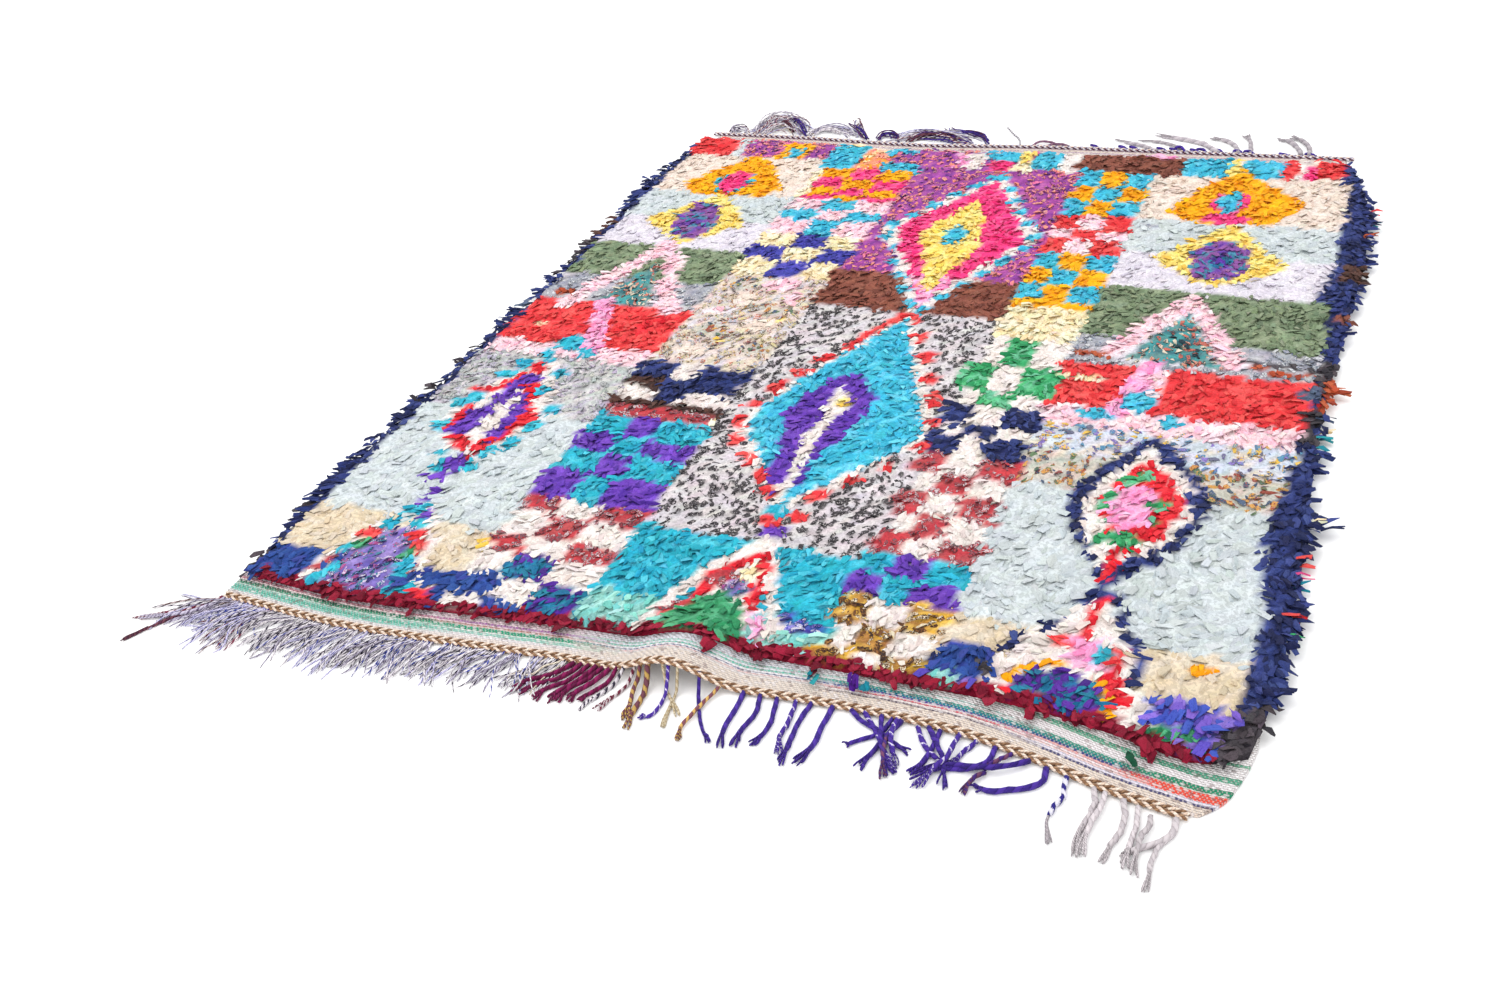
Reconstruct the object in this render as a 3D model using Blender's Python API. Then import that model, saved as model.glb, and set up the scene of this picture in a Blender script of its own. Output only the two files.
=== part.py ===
"""A boucherouite rug lying on a floor: rag pile on a flat-woven ground, with a fringe at each end.

Metres, +Z up. X runs across the rug, +Y from its near end to its far end, and the origin is on the flat
underside, near its middle. The near edge rises off the floor in one soft wave.
"""

import bmesh
import bpy
import numpy as np

# The cloth.
LEFT, RIGHT = -0.755, 0.785
WEAVE_THICK = 0.0035
PILE_HIGH = 0.024
SHOULDER_HIGH = 0.017  # height of the pile at its rim
SHOULDER_IN = 0.010  # how far in from its foot the pile reaches that height
LUMP = 0.005  # how much the pile's height differs from lump to lump
DRIFT = 0.006  # how far a lump stands off the even grid
CLEARANCE = 0.0005  # between the cloth's edge and a fringe's strip
SEED = 7

# The wave in the near edge, which dies away over the cloth behind it.
WAVE_X = 0.018
WAVE_HIGH = 0.034
WAVE_HALF_WIDTH = 0.115
WAVE_DEPTH = 0.21

# The cloth's grid.
COLUMNS = 46
PILE_ROWS = 44
FOOT_ROW = 2  # after the edge and the middle of the skirt

# Locks of rag at the rim: how far they reach out, how high their tips lie, and how far they lean aside.
LOCK_REACH = (0.010, 0.024)
LOCK_TIP = (0.004, 0.010)
LOCK_SWAY = 0.006

# A fringe's twined strip and its strands.
STRIP_WIDE = 0.016
STRIP_HIGH = 0.006
STRAND_HIGH = 0.0042
STRAND_STEPS = 4
STRAND_WIGGLE = 0.0012
STRAND_TIP = 0.6  # width of a strand's tip as a share of the strand
FLOOR_AT = 0.6  # share of its length where a strand off the wave reaches the floor

# Outlines of the cloth as x, y: its two ends, and where the pile starts and stops.
NEAR_EDGE = (
    (-0.747, -0.943),
    (-0.500, -0.952),
    (-0.310, -0.939),
    (-0.120, -0.924),
    (0.020, -0.924),
    (0.130, -0.915),
    (0.300, -0.906),
    (0.420, -0.910),
    (0.520, -0.929),
    (0.600, -0.950),
    (0.706, -0.968),
)
PILE_NEAR = (
    (-0.755, -0.897),
    (-0.550, -0.908),
    (-0.310, -0.886),
    (-0.100, -0.868),
    (0.020, -0.862),
    (0.300, -0.854),
    (0.500, -0.856),
    (0.600, -0.870),
    (0.720, -0.884),
    (0.760, -0.862),
)
PILE_FAR = (
    (-0.755, 0.846),
    (-0.550, 0.850),
    (-0.200, 0.838),
    (0.100, 0.856),
    (0.500, 0.866),
    (0.740, 0.878),
)
FAR_EDGE = (
    (-0.740, 0.882),
    (-0.500, 0.882),
    (-0.200, 0.872),
    (0.050, 0.892),
    (0.400, 0.900),
    (0.730, 0.905),
)

# The two sides as y, x.
LEFT_SIDE = (
    (-0.950, -0.747),
    (-0.850, -0.747),
    (-0.600, -0.762),
    (-0.200, -0.752),
    (0.300, -0.748),
    (0.700, -0.757),
    (0.900, -0.724),
)
RIGHT_SIDE = (
    (-0.970, 0.706),
    (-0.940, 0.734),
    (-0.900, 0.750),
    (-0.830, 0.764),
    (-0.600, 0.778),
    (-0.100, 0.768),
    (0.200, 0.778),
    (0.500, 0.787),
    (0.740, 0.764),
    (0.905, 0.722),
)

# Runs of strands: first and last root along x, how many, width, length and how much that differs,
# and the lean of the first and the last (sideways travel for each metre out).
NEAR_RUNS = (
    (-0.736, -0.165, 50, 0.0055, 0.082, 0.18, -0.95, -0.40),
    (-0.132, -0.056, 7, 0.0060, 0.090, 0.10, -0.75, -0.45),
    (-0.028, 0.092, 7, 0.0060, 0.095, 0.10, -0.05, 0.10),
    (0.124, 0.530, 19, 0.0065, 0.092, 0.14, 0.15, -0.25),
    (0.560, 0.560, 1, 0.0070, 0.115, 0.00, 0.05, 0.05),
    (0.596, 0.690, 6, 0.0070, 0.115, 0.10, 0.10, -0.20),
)
FAR_RUNS = (
    (-0.660, -0.060, 32, 0.0060, 0.095, 0.35, 0.35, -0.55),
    (-0.020, 0.180, 6, 0.0060, 0.020, 0.30, 0.00, -0.20),
    (0.230, 0.620, 12, 0.0060, 0.075, 0.25, -0.80, -0.50),
)

RUG_COLOUR = (0.62, 0.52, 0.52)
NEAR_COLOUR = (0.20, 0.10, 0.42)
FAR_COLOUR = (0.42, 0.38, 0.45)


def along(outline, at):
    """The smooth curve through an outline's points."""
    places, values = np.array(outline).T
    slopes = np.gradient(values, places)
    i = np.clip(np.searchsorted(places, at) - 1, 0, len(places) - 2)
    span = places[i + 1] - places[i]
    t = np.clip((at - places[i]) / span, 0.0, 1.0)
    start = (1 + 2 * t) * values[i] + t * span * slopes[i]
    end = (3 - 2 * t) * values[i + 1] + (t - 1) * span * slopes[i + 1]
    return (1 - t) ** 2 * start + t**2 * end


def mound(t):
    """A soft mound: 1 in its middle and 0 from 1 outwards."""
    return np.clip(1 - t**2, 0.0, 1.0) ** 3


def wave(x, y):
    """How far the wave lifts the cloth off the floor."""
    behind = np.maximum(y - along(NEAR_EDGE, x), 0.0)
    return WAVE_HIGH * mound((x - WAVE_X) / WAVE_HALF_WIDTH) * mound(behind / WAVE_DEPTH)


def rows_over(near_x, foot_x, far_foot_x, far_x):
    """The grid's rows, near to far: edge, middle of the skirt, foot of the pile, the pile, and back."""
    near, foot = along(NEAR_EDGE, near_x), along(PILE_NEAR, foot_x)
    far_foot, far = along(PILE_FAR, far_foot_x), along(FAR_EDGE, far_x)
    first, last = foot + SHOULDER_IN, far_foot - SHOULDER_IN
    pile = [first + (last - first) * k / PILE_ROWS for k in range(PILE_ROWS + 1)]
    return np.array([near, (near + foot) / 2, foot, *pile, far_foot, far])


def across(y, share):
    """The x of each grid point, between the cloth's two sides."""
    left, right = along(LEFT_SIDE, y), along(RIGHT_SIDE, y)
    return left + share * (right - left)


def cloth_grid(rng):
    """The cloth's points as x, y, the height of its underside, and the height of its top."""
    share = np.linspace(0.0, 1.0, COLUMNS + 1)
    even = LEFT + share * (RIGHT - LEFT)
    x = across(rows_over(even, even, even, even), share)
    y = rows_over(x[0], x[FOOT_ROW], x[-2], x[-1])
    x = across(y, share)
    high = np.full(x.shape, WEAVE_THICK)
    high[FOOT_ROW + 1 : -2] = SHOULDER_HIGH
    inside = (slice(FOOT_ROW + 2, -3), slice(1, -1))
    lumps = x[inside].shape
    high[inside] = PILE_HIGH + rng.uniform(-LUMP, LUMP, lumps)
    x[inside] += rng.uniform(-DRIFT, DRIFT, lumps)
    y[inside] += rng.uniform(-DRIFT, DRIFT, lumps)
    floor = wave(x, y)
    return x, y, floor, floor + high


def rim_of(rows, columns):
    """The grid's border in order, anticlockwise from its near left corner."""
    near = [(0, j) for j in range(columns)]
    right = [(i, columns - 1) for i in range(1, rows)]
    far = [(rows - 1, j) for j in range(columns - 2, -1, -1)]
    left = [(i, 0) for i in range(rows - 2, 0, -1)]
    return near + right + far + left


def lifted_block(floor):
    """The part of the grid that the wave lifts: its last row, and its first and last columns."""
    rows = np.flatnonzero((floor > 0).any(axis=1))
    columns = np.flatnonzero((floor > 0).any(axis=0))
    return rows[-1] + 1, columns[0] - 1, columns[-1] + 1


def add_underside(mesh, lower, rim, last_row, first, last):
    """One flat face but for the lifted block, which has a grid of its own."""
    for i in range(last_row):
        for j in range(first, last):
            mesh.faces.new((lower[i, j], lower[i + 1, j], lower[i + 1, j + 1], lower[i, j + 1]))
    around = [(i, first) for i in range(1, last_row)]
    around += [(last_row, j) for j in range(first, last + 1)]
    around += [(i, last) for i in range(last_row - 1, 0, -1)]
    outline = rim[: first + 1] + around + rim[last:]
    mesh.faces.new([lower[at] for at in reversed(outline)])


def add_lock(mesh, corners, outward, rise, rng):
    """A lock of rag in place of a flat side: its four corners drawn out to a tip that leans down."""
    middle = sum((corner.co for corner in corners), corners[0].co * 0) / len(corners)
    reach = rng.uniform(*LOCK_REACH)
    sway = rng.uniform(-LOCK_SWAY, LOCK_SWAY)
    x = middle.x + outward[0] * reach + outward[1] * sway
    y = middle.y + outward[1] * reach + outward[0] * sway
    tip = mesh.verts.new((x, y, wave(x, y) + rise + rng.uniform(*LOCK_TIP)))
    for here, after in zip(corners, corners[1:] + corners[:1], strict=True):
        mesh.faces.new((here, after, tip))


def add_top(mesh, upper, rng):
    """The cloth's top, with a lock at every second step between the pile and its skirts."""
    rows, columns = len(upper), len(upper[0])
    pile_ends = {FOOT_ROW: (0.0, -1.0), rows - 3: (0.0, 1.0)}
    for i in range(rows - 1):
        for j in range(columns - 1):
            corners = [upper[i][j], upper[i][j + 1], upper[i + 1][j + 1], upper[i + 1][j]]
            if i in pile_ends and j % 2:
                add_lock(mesh, corners, pile_ends[i], WEAVE_THICK, rng)
            else:
                mesh.faces.new(corners)


def add_walls(mesh, lower, upper, rim, rng):
    """The cloth's sides, drawn out into locks down both sides of the pile."""
    pile = range(FOOT_ROW + 1, len(upper) - 2)
    for here, after in zip(rim, rim[1:] + rim[:1], strict=True):
        corners = [lower[here], lower[after], upper[after[0]][after[1]], upper[here[0]][here[1]]]
        if here[1] == after[1] and here[0] in pile and after[0] in pile:
            add_lock(mesh, corners, (1.0 if here[1] else -1.0, 0.0), 0.0, rng)
        else:
            mesh.faces.new(corners)


def build_rug(rng):
    """The rug, and the line of its near and far edges' undersides as x, y, z."""
    x, y, floor, top = cloth_grid(rng)
    rows, columns = x.shape
    mesh = bmesh.new()
    upper = [[mesh.verts.new((x[i, j], y[i, j], top[i, j])) for j in range(columns)] for i in range(rows)]
    last_row, first, last = lifted_block(floor)
    rim = rim_of(rows, columns)
    block = [(i, j) for i in range(last_row + 1) for j in range(first, last + 1)]
    lower = {at: mesh.verts.new((x[at], y[at], floor[at])) for at in dict.fromkeys(rim + block)}
    add_top(mesh, upper, rng)
    add_underside(mesh, lower, rim, last_row, first, last)
    add_walls(mesh, lower, upper, rim, rng)
    new_object("rug", mesh, RUG_COLOUR)
    return (x[0], y[0], floor[0]), (x[-1], y[-1], floor[-1])


def strands_of(runs, rng):
    """Each strand as its root's x, its width, its length and its lean."""
    strands = []
    for first, last, count, width, length, spread, lean, last_lean in runs:
        for k in range(count):
            share = k / max(count - 1, 1)
            root = first + (last - first) * share
            own_length = length * (1 + spread * rng.uniform(-1, 1))
            own_lean = lean + (last_lean - lean) * share
            strands.append((root, width, own_length, own_lean))
    return strands


def stations_of(edge_x, strands):
    """Where the strip has a section: at both sides of each strand's root, and at the cloth's own points."""
    roots = [root + side * width / 2 for root, width, _, _ in strands for side in (-1, 1)]
    free = [x for x in edge_x if all(abs(x - root) > width for root, width, _, _ in strands)]
    return sorted(roots + free)


def add_strand(mesh, start, middle, strand, side, rng):
    """Carries a strand out of the strip's outer side and along the floor to its tip."""
    _, width, length, lean = strand
    root_x, root_y, root_z = middle
    wiggle = rng.uniform(-STRAND_WIGGLE, STRAND_WIGGLE)
    ring = start
    for step in range(1, STRAND_STEPS + 1):
        t = step / STRAND_STEPS
        x = root_x + lean * length * t + wiggle * np.sin(2 * np.pi * t)
        y = root_y + side * length * t
        low = root_z * max(1 - t / FLOOR_AT, 0.0) ** 2
        half = width / 2 * (STRAND_TIP if step == STRAND_STEPS else 1.0)
        aside_x, aside_y = np.array((1.0, -side * lean)) / np.hypot(1.0, lean) * half
        places = (
            (x - aside_x, y - aside_y, low),
            (x + aside_x, y + aside_y, low),
            (x + aside_x, y + aside_y, low + STRAND_HIGH),
            (x - aside_x, y - aside_y, low + STRAND_HIGH),
        )
        after = [mesh.verts.new(place) for place in places]
        for k in range(4):
            mesh.faces.new((ring[k], ring[k - 1], after[k - 1], after[k]))
        ring = after
    mesh.faces.new(ring)


def build_fringe(name, edge, runs, side, colour, rng):
    """A twined strip along the cloth's edge, with its strands. side is -1 at the near end, 1 at the far."""
    edge_x, edge_y, edge_z = edge
    strands = strands_of(runs, rng)
    x = np.array(stations_of(edge_x, strands))
    inner = np.interp(x, edge_x, edge_y) + side * CLEARANCE
    outer = inner + side * STRIP_WIDE
    floor = np.interp(x, edge_x, edge_z)
    mesh = bmesh.new()
    rings = []
    for place, y, out, low in zip(x, inner, outer, floor, strict=True):
        corners = ((y, low), (out, low), (out, low + STRIP_HIGH), (y, low + STRIP_HIGH))
        rings.append([mesh.verts.new((place, *corner)) for corner in corners])
    starting = {strand[0] - strand[1] / 2: strand for strand in strands}
    for k, (ring, after) in enumerate(zip(rings, rings[1:])):
        strand = starting.get(x[k])
        for low, high in ((0, 1), (1, 2), (2, 3), (3, 0)):
            if low == 1 and strand:
                start = [ring[1], after[1], after[2], ring[2]]
                middle = (strand[0], (outer[k] + outer[k + 1]) / 2, floor[k])
                add_strand(mesh, start, middle, strand, side, rng)
            else:
                mesh.faces.new((ring[low], ring[high], after[high], after[low]))
    mesh.faces.new(rings[0])
    mesh.faces.new(rings[-1])
    new_object(name, mesh, colour)


def new_object(name, mesh, colour):
    """The finished mesh as an object with its own material."""
    bmesh.ops.recalc_face_normals(mesh, faces=mesh.faces)
    data = bpy.data.meshes.new(name)
    mesh.to_mesh(data)
    mesh.free()
    material = bpy.data.materials.new(name)
    material.use_nodes = True
    shader = material.node_tree.nodes["Principled BSDF"]
    shader.inputs["Base Color"].default_value = (*colour, 1.0)
    shader.inputs["Roughness"].default_value = 0.95
    shader.inputs["Metallic"].default_value = 0.0
    data.materials.append(material)
    bpy.context.collection.objects.link(bpy.data.objects.new(name, data))


def main():
    for thing in list(bpy.data.objects):
        bpy.data.objects.remove(thing)
    rng = np.random.default_rng(SEED)
    near_edge, far_edge = build_rug(rng)
    build_fringe("near_fringe", near_edge, NEAR_RUNS, -1, NEAR_COLOUR, rng)
    build_fringe("far_fringe", far_edge, FAR_RUNS, 1, FAR_COLOUR, rng)


main()
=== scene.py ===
# A boucherouite rug: knotted rag pile on a flat-woven ground, twined edges and a fringe at each end.
# Metres, Z up. X runs across the rug and Y from its near end to its far end.
import math

import bpy
import numpy as np
from mathutils import Matrix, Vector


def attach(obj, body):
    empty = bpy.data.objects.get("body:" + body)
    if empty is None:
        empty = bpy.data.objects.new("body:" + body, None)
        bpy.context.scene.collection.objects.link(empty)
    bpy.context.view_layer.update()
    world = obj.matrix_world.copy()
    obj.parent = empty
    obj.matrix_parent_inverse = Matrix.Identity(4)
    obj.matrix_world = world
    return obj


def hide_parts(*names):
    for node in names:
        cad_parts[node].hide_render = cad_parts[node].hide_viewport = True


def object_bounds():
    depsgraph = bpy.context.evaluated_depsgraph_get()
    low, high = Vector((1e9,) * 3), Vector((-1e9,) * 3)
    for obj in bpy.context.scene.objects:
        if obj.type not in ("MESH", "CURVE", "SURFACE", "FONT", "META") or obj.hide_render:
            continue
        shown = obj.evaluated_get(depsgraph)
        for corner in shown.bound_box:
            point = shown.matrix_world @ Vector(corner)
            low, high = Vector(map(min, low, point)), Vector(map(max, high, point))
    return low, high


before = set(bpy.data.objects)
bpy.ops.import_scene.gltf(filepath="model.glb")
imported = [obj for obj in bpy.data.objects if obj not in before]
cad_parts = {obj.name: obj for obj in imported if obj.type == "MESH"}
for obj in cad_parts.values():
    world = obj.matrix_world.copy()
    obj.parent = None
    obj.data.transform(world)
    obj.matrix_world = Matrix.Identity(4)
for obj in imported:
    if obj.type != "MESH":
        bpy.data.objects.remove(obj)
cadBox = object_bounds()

print("rug: the frame is loaded")


# The cloth as it lies: its outlines, and the wave that lifts its near edge.

cloth = {
    "weaveThick": 0.0035,
    "waveX": 0.018,
    "waveHigh": 0.034,
    "waveHalfWidth": 0.115,
    "waveDepth": 0.21,
    # the two ends, and where the pile starts and stops, as x, y
    "nearEdge": (
        (-0.747, -0.943), (-0.500, -0.952), (-0.310, -0.939), (-0.120, -0.924), (0.020, -0.924), (0.130, -0.915),
        (0.300, -0.906), (0.420, -0.910), (0.520, -0.929), (0.600, -0.950), (0.706, -0.968),
    ),
    "pileNear": (
        (-0.755, -0.897), (-0.550, -0.908), (-0.310, -0.886), (-0.100, -0.868), (0.020, -0.862),
        (0.300, -0.854), (0.500, -0.856), (0.600, -0.870), (0.720, -0.884), (0.760, -0.862),
    ),
    "pileFar": (
        (-0.755, 0.846), (-0.550, 0.850), (-0.200, 0.838), (0.100, 0.856), (0.500, 0.866), (0.740, 0.878),
    ),
    "farEdge": (
        (-0.740, 0.882), (-0.500, 0.882), (-0.200, 0.872), (0.050, 0.892), (0.400, 0.900), (0.730, 0.905),
    ),
    # the two sides, as y, x
    "leftSide": (
        (-0.950, -0.747), (-0.850, -0.747), (-0.600, -0.762), (-0.200, -0.752), (0.300, -0.748),
        (0.700, -0.757), (0.900, -0.724),
    ),
    "rightSide": (
        (-0.970, 0.706), (-0.940, 0.734), (-0.900, 0.750), (-0.830, 0.764), (-0.600, 0.778),
        (-0.100, 0.768), (0.200, 0.778), (0.500, 0.787), (0.740, 0.764), (0.905, 0.722),
    ),
}


# The smooth curve through values at their places: between two places a cubic with the mean slopes at its ends.
def curve(places, values, at):
    slopes = np.gradient(values, places, axis=0)
    i = np.clip(np.searchsorted(places, at) - 1, 0, len(places) - 2)
    span = places[i + 1] - places[i]
    t = np.clip((at - places[i]) / span, 0.0, 1.0)
    if values.ndim == 2:
        span, t = span[..., None], t[..., None]
    start = (1 + 2 * t) * values[i] + t * span * slopes[i]
    end = (3 - 2 * t) * values[i + 1] + (t - 1) * span * slopes[i + 1]
    return (1 - t) ** 2 * start + t**2 * end


def along(name, at):
    places, values = np.array(cloth[name]).T
    return curve(places, values, at)


# A soft mound: the cube of 1 - t squared, and 0 from t = 1 outwards.
def mound(t):
    return np.clip(1 - t**2, 0.0, 1.0) ** 3


# How far the wave lifts the cloth: its height times one mound across it and one behind the near edge.
def lift(x, y):
    behind = np.maximum(y - along("nearEdge", x), 0.0)
    aside = (x - cloth["waveX"]) / cloth["waveHalfWidth"]
    return cloth["waveHigh"] * mound(aside) * mound(behind / cloth["waveDepth"])


# A smooth random field between about -1 and 1: the sum of a few plane waves of one wavelength.
def drift(x, y, wavelength, seed):
    rng = np.random.default_rng(seed)
    total = np.zeros(np.shape(x))
    for heading, phase in rng.uniform(0, 2 * np.pi, (7, 2)):
        total += np.sin((x * np.cos(heading) + y * np.sin(heading)) * 2 * np.pi / wavelength + phase)
    return total / 2.6


# Fabrics: shades as sRGB, prints with their specks, and the size of a scrap in millimetres.

# Calm cloth lies flatter.
def fabric(*shades, specks=None, amount=0.0, wide=10, long=26, keep=1.0, calm=1.0):
    found = {"shades": shades, "specks": specks or shades, "amount": amount, "wide": wide, "long": long}
    return {**found, "keep": keep, "calm": calm}


fabrics = {
    "turquoise": fabric((46, 178, 202), (32, 160, 190), (80, 194, 214), (42, 170, 190)),
    "cyan": fabric((70, 188, 218), (52, 175, 208), (102, 203, 227), (62, 182, 206)),
    "teal": fabric((20, 130, 150), (15, 105, 135), (40, 150, 160)),
    "deepViolet": fabric((92, 32, 150), (78, 24, 134)),
    "mint": fabric((150, 215, 205), (120, 200, 195), (170, 222, 212), (135, 190, 185)),
    "purple": fabric((105, 62, 178), (84, 48, 155), (120, 75, 190)),
    "violetTeal": fabric((95, 50, 160), (30, 110, 150), (70, 40, 130), (40, 130, 160)),
    "violetEye": fabric((140, 82, 158), (112, 70, 168), (150, 96, 150), (74, 140, 170)),
    "royal": fabric((44, 74, 148), (56, 70, 152), (36, 64, 134), (50, 84, 158), wide=12, long=28),
    "royalViolet": fabric((70, 90, 190), (125, 95, 200), (90, 75, 180), (140, 114, 206), wide=13, long=36,
        keep=0.85),
    "indigo": fabric((68, 68, 165), (55, 60, 145), (85, 80, 180)),
    "navy": fabric((48, 60, 118), (36, 46, 96), (62, 74, 134), (30, 37, 78), wide=11, long=27),
    "violetPrint": fabric((162, 74, 154), (146, 62, 146), (180, 94, 160), (128, 60, 146), specks=((242, 152,
        118), (236, 122, 166), (92, 48, 130), (226, 160, 150)), amount=0.29, wide=8, long=22),
    "lilacPrint": fabric((128, 110, 182), (104, 90, 168), (152, 132, 196), specks=((44, 38, 96), (214, 204,
        226), (186, 92, 150), (60, 130, 150)), amount=0.30, wide=8, long=22),
    "hotPink": fabric((244, 60, 132), (232, 46, 120), (248, 92, 150)),
    "pink": fabric((247, 165, 208), (250, 145, 195), (245, 185, 215)),
    "palePink": fabric((252, 208, 218), (248, 190, 205), (250, 222, 226)),
    "orange": fabric((252, 171, 6), (246, 157, 4), (252, 184, 24)),
    "yellow": fabric((250, 218, 115), (245, 205, 90), (250, 228, 145)),
    "red": fabric((229, 62, 66), (216, 47, 54), (235, 86, 84)),
    "brightRed": fabric((225, 32, 48), (205, 25, 42), (235, 55, 65)),
    "burgundy": fabric((134, 18, 46), (112, 12, 38), (154, 28, 56), wide=12, long=20),
    "brown": fabric((133, 75, 61), (115, 63, 51), (147, 88, 72)),
    "darkBrown": fabric((78, 52, 46), (60, 42, 40), (92, 62, 54)),
    "rust": fabric((175, 75, 45), (155, 62, 42), (190, 95, 60)),
    "charcoal": fabric((66, 60, 66), (48, 45, 52), (84, 76, 82), wide=11),
    "slate": fabric((90, 105, 130), (75, 90, 115)),
    "sage": fabric((126, 142, 112), (112, 130, 102), (140, 154, 124)),
    "darkGreen": fabric((24, 96, 66), (16, 78, 54)),
    "leafGreen": fabric((48, 142, 94), (32, 114, 76), (84, 170, 124)),
    "green": fabric((60, 165, 105), (40, 140, 85), (90, 185, 130), (110, 190, 150), wide=11),
    "cream": fabric((242, 226, 188), (236, 214, 165), (246, 236, 208)),
    "creamYellow": fabric((217, 200, 175), (212, 194, 164), (219, 206, 187), wide=12, long=28, calm=0.6),
    "ivory": fabric((229, 212, 199), (223, 202, 188), (232, 219, 208), calm=0.7),
    "white": fabric((232, 222, 217), (225, 212, 207), (238, 230, 225), calm=0.8),
    "iceBlue": fabric((202, 209, 213), (196, 205, 209), (207, 214, 216), (198, 206, 205), wide=13, long=29,
        calm=0.55),
    "lilac": fabric((219, 213, 223), (213, 206, 219), (225, 219, 227), wide=11, calm=0.6),
    "paleGrey": fabric((200, 198, 196), (184, 190, 184), (208, 204, 206), (174, 177, 176), (192, 183, 198),
        specks=((140, 150, 146), (158, 148, 172), (120, 122, 128)), amount=0.17, wide=9, long=22),
    "denimGrey": fabric((166, 166, 174), (148, 151, 163), (184, 182, 189), specks=((110, 120, 140), (215,
        218, 220)), amount=0.20, wide=8, long=22),
    "leopard": fabric((208, 201, 203), (199, 191, 195), specks=((62, 58, 62), (82, 78, 80)), amount=0.30,
        wide=8, long=20),
    "creamPrint": fabric((220, 202, 188), (216, 199, 193), (220, 194, 190), (214, 202, 172), (206, 200,
        206), specks=((150, 150, 128), (190, 110, 84), (205, 190, 120), (170, 175, 190), (120, 90, 80)),
        amount=0.225, wide=9, long=22),
    "coolPrint": fabric((208, 208, 220), (196, 204, 222), (220, 208, 190), (190, 200, 210), specks=((96,
        146, 178), (140, 120, 190), (230, 190, 90), (110, 112, 134)), amount=0.34, wide=8, long=20),
    "warmPrint": fabric((204, 196, 182), (192, 189, 178), (208, 188, 178), (182, 183, 174), specks=((160,
        84, 72), (104, 128, 96), (214, 160, 90), (84, 100, 124)), amount=0.36, wide=8, long=20),
    "tealPrint": fabric((70, 150, 152), (95, 140, 138), (60, 110, 120), specks=((225, 212, 190), (200, 110,
        95), (40, 60, 70)), amount=0.34, wide=8, long=20),
    "redPrint": fabric((192, 62, 70), (172, 54, 64), (184, 78, 82), specks=((130, 96, 104), (205, 190, 194),
        (110, 52, 62)), amount=0.24, wide=9, long=22),
    "orangePrint": fabric((246, 160, 40), (240, 150, 120), specks=((238, 110, 130), (250, 225, 170)),
        amount=0.3, wide=9, long=22),
    "goldPrint": fabric((206, 158, 58), (150, 104, 60), (222, 184, 92), (176, 128, 66), specks=((64, 46,
        40), (230, 218, 192), (112, 74, 46)), amount=0.29, wide=9, long=22),
    "royalPrint": fabric((80, 84, 180), (75, 62, 160), (60, 100, 170), specks=((45, 50, 105), (150, 140,
        215), (215, 210, 225)), amount=0.25, wide=9, long=22),
}


# The design is painted in order, each shape over those before it. Its numbers are millimetres, with x across the
# rug and y along it: a block's sides come as x, x, y, y, and the points of the others as x, y by turns.

def metres(*numbers):
    return tuple(number / 1000 for number in numbers)


def pairs(numbers):
    return tuple(zip(metres(*numbers[::2]), metres(*numbers[1::2])))


def block(fabricName, x0, x1, y0, y1):
    return "block", fabricName, metres(x0, x1, y0, y1)


def shape(fabricName, *corners):
    return "shape", fabricName, pairs(corners)


def line(fabricName, width, *points):
    return "line", fabricName, (width / 1000, pairs(points))


def dashes(fabricName, width, period, *points):
    return "dashes", fabricName, (width / 1000, period / 1000, pairs(points))


def spot(fabricName, x, y, halfWidth, halfLength):
    return "spot", fabricName, metres(x, y, halfWidth, halfLength)


def spots(fabricName, halfWidth, halfLength, *places):
    return [spot(fabricName, x, y, halfWidth, halfLength) for x, y in zip(places[::2], places[1::2])]


# A chequer's cells, row by row from its far end, one letter of the key for each column.
def chequer(key, columns, rows, *cells):
    return [
        block(key[letter], columns[column], columns[column + 1], rows[row + 1], rows[row])
        for row, letters in enumerate(cells)
        for column, letter in enumerate(letters)
        if letter != "."
    ]


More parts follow.
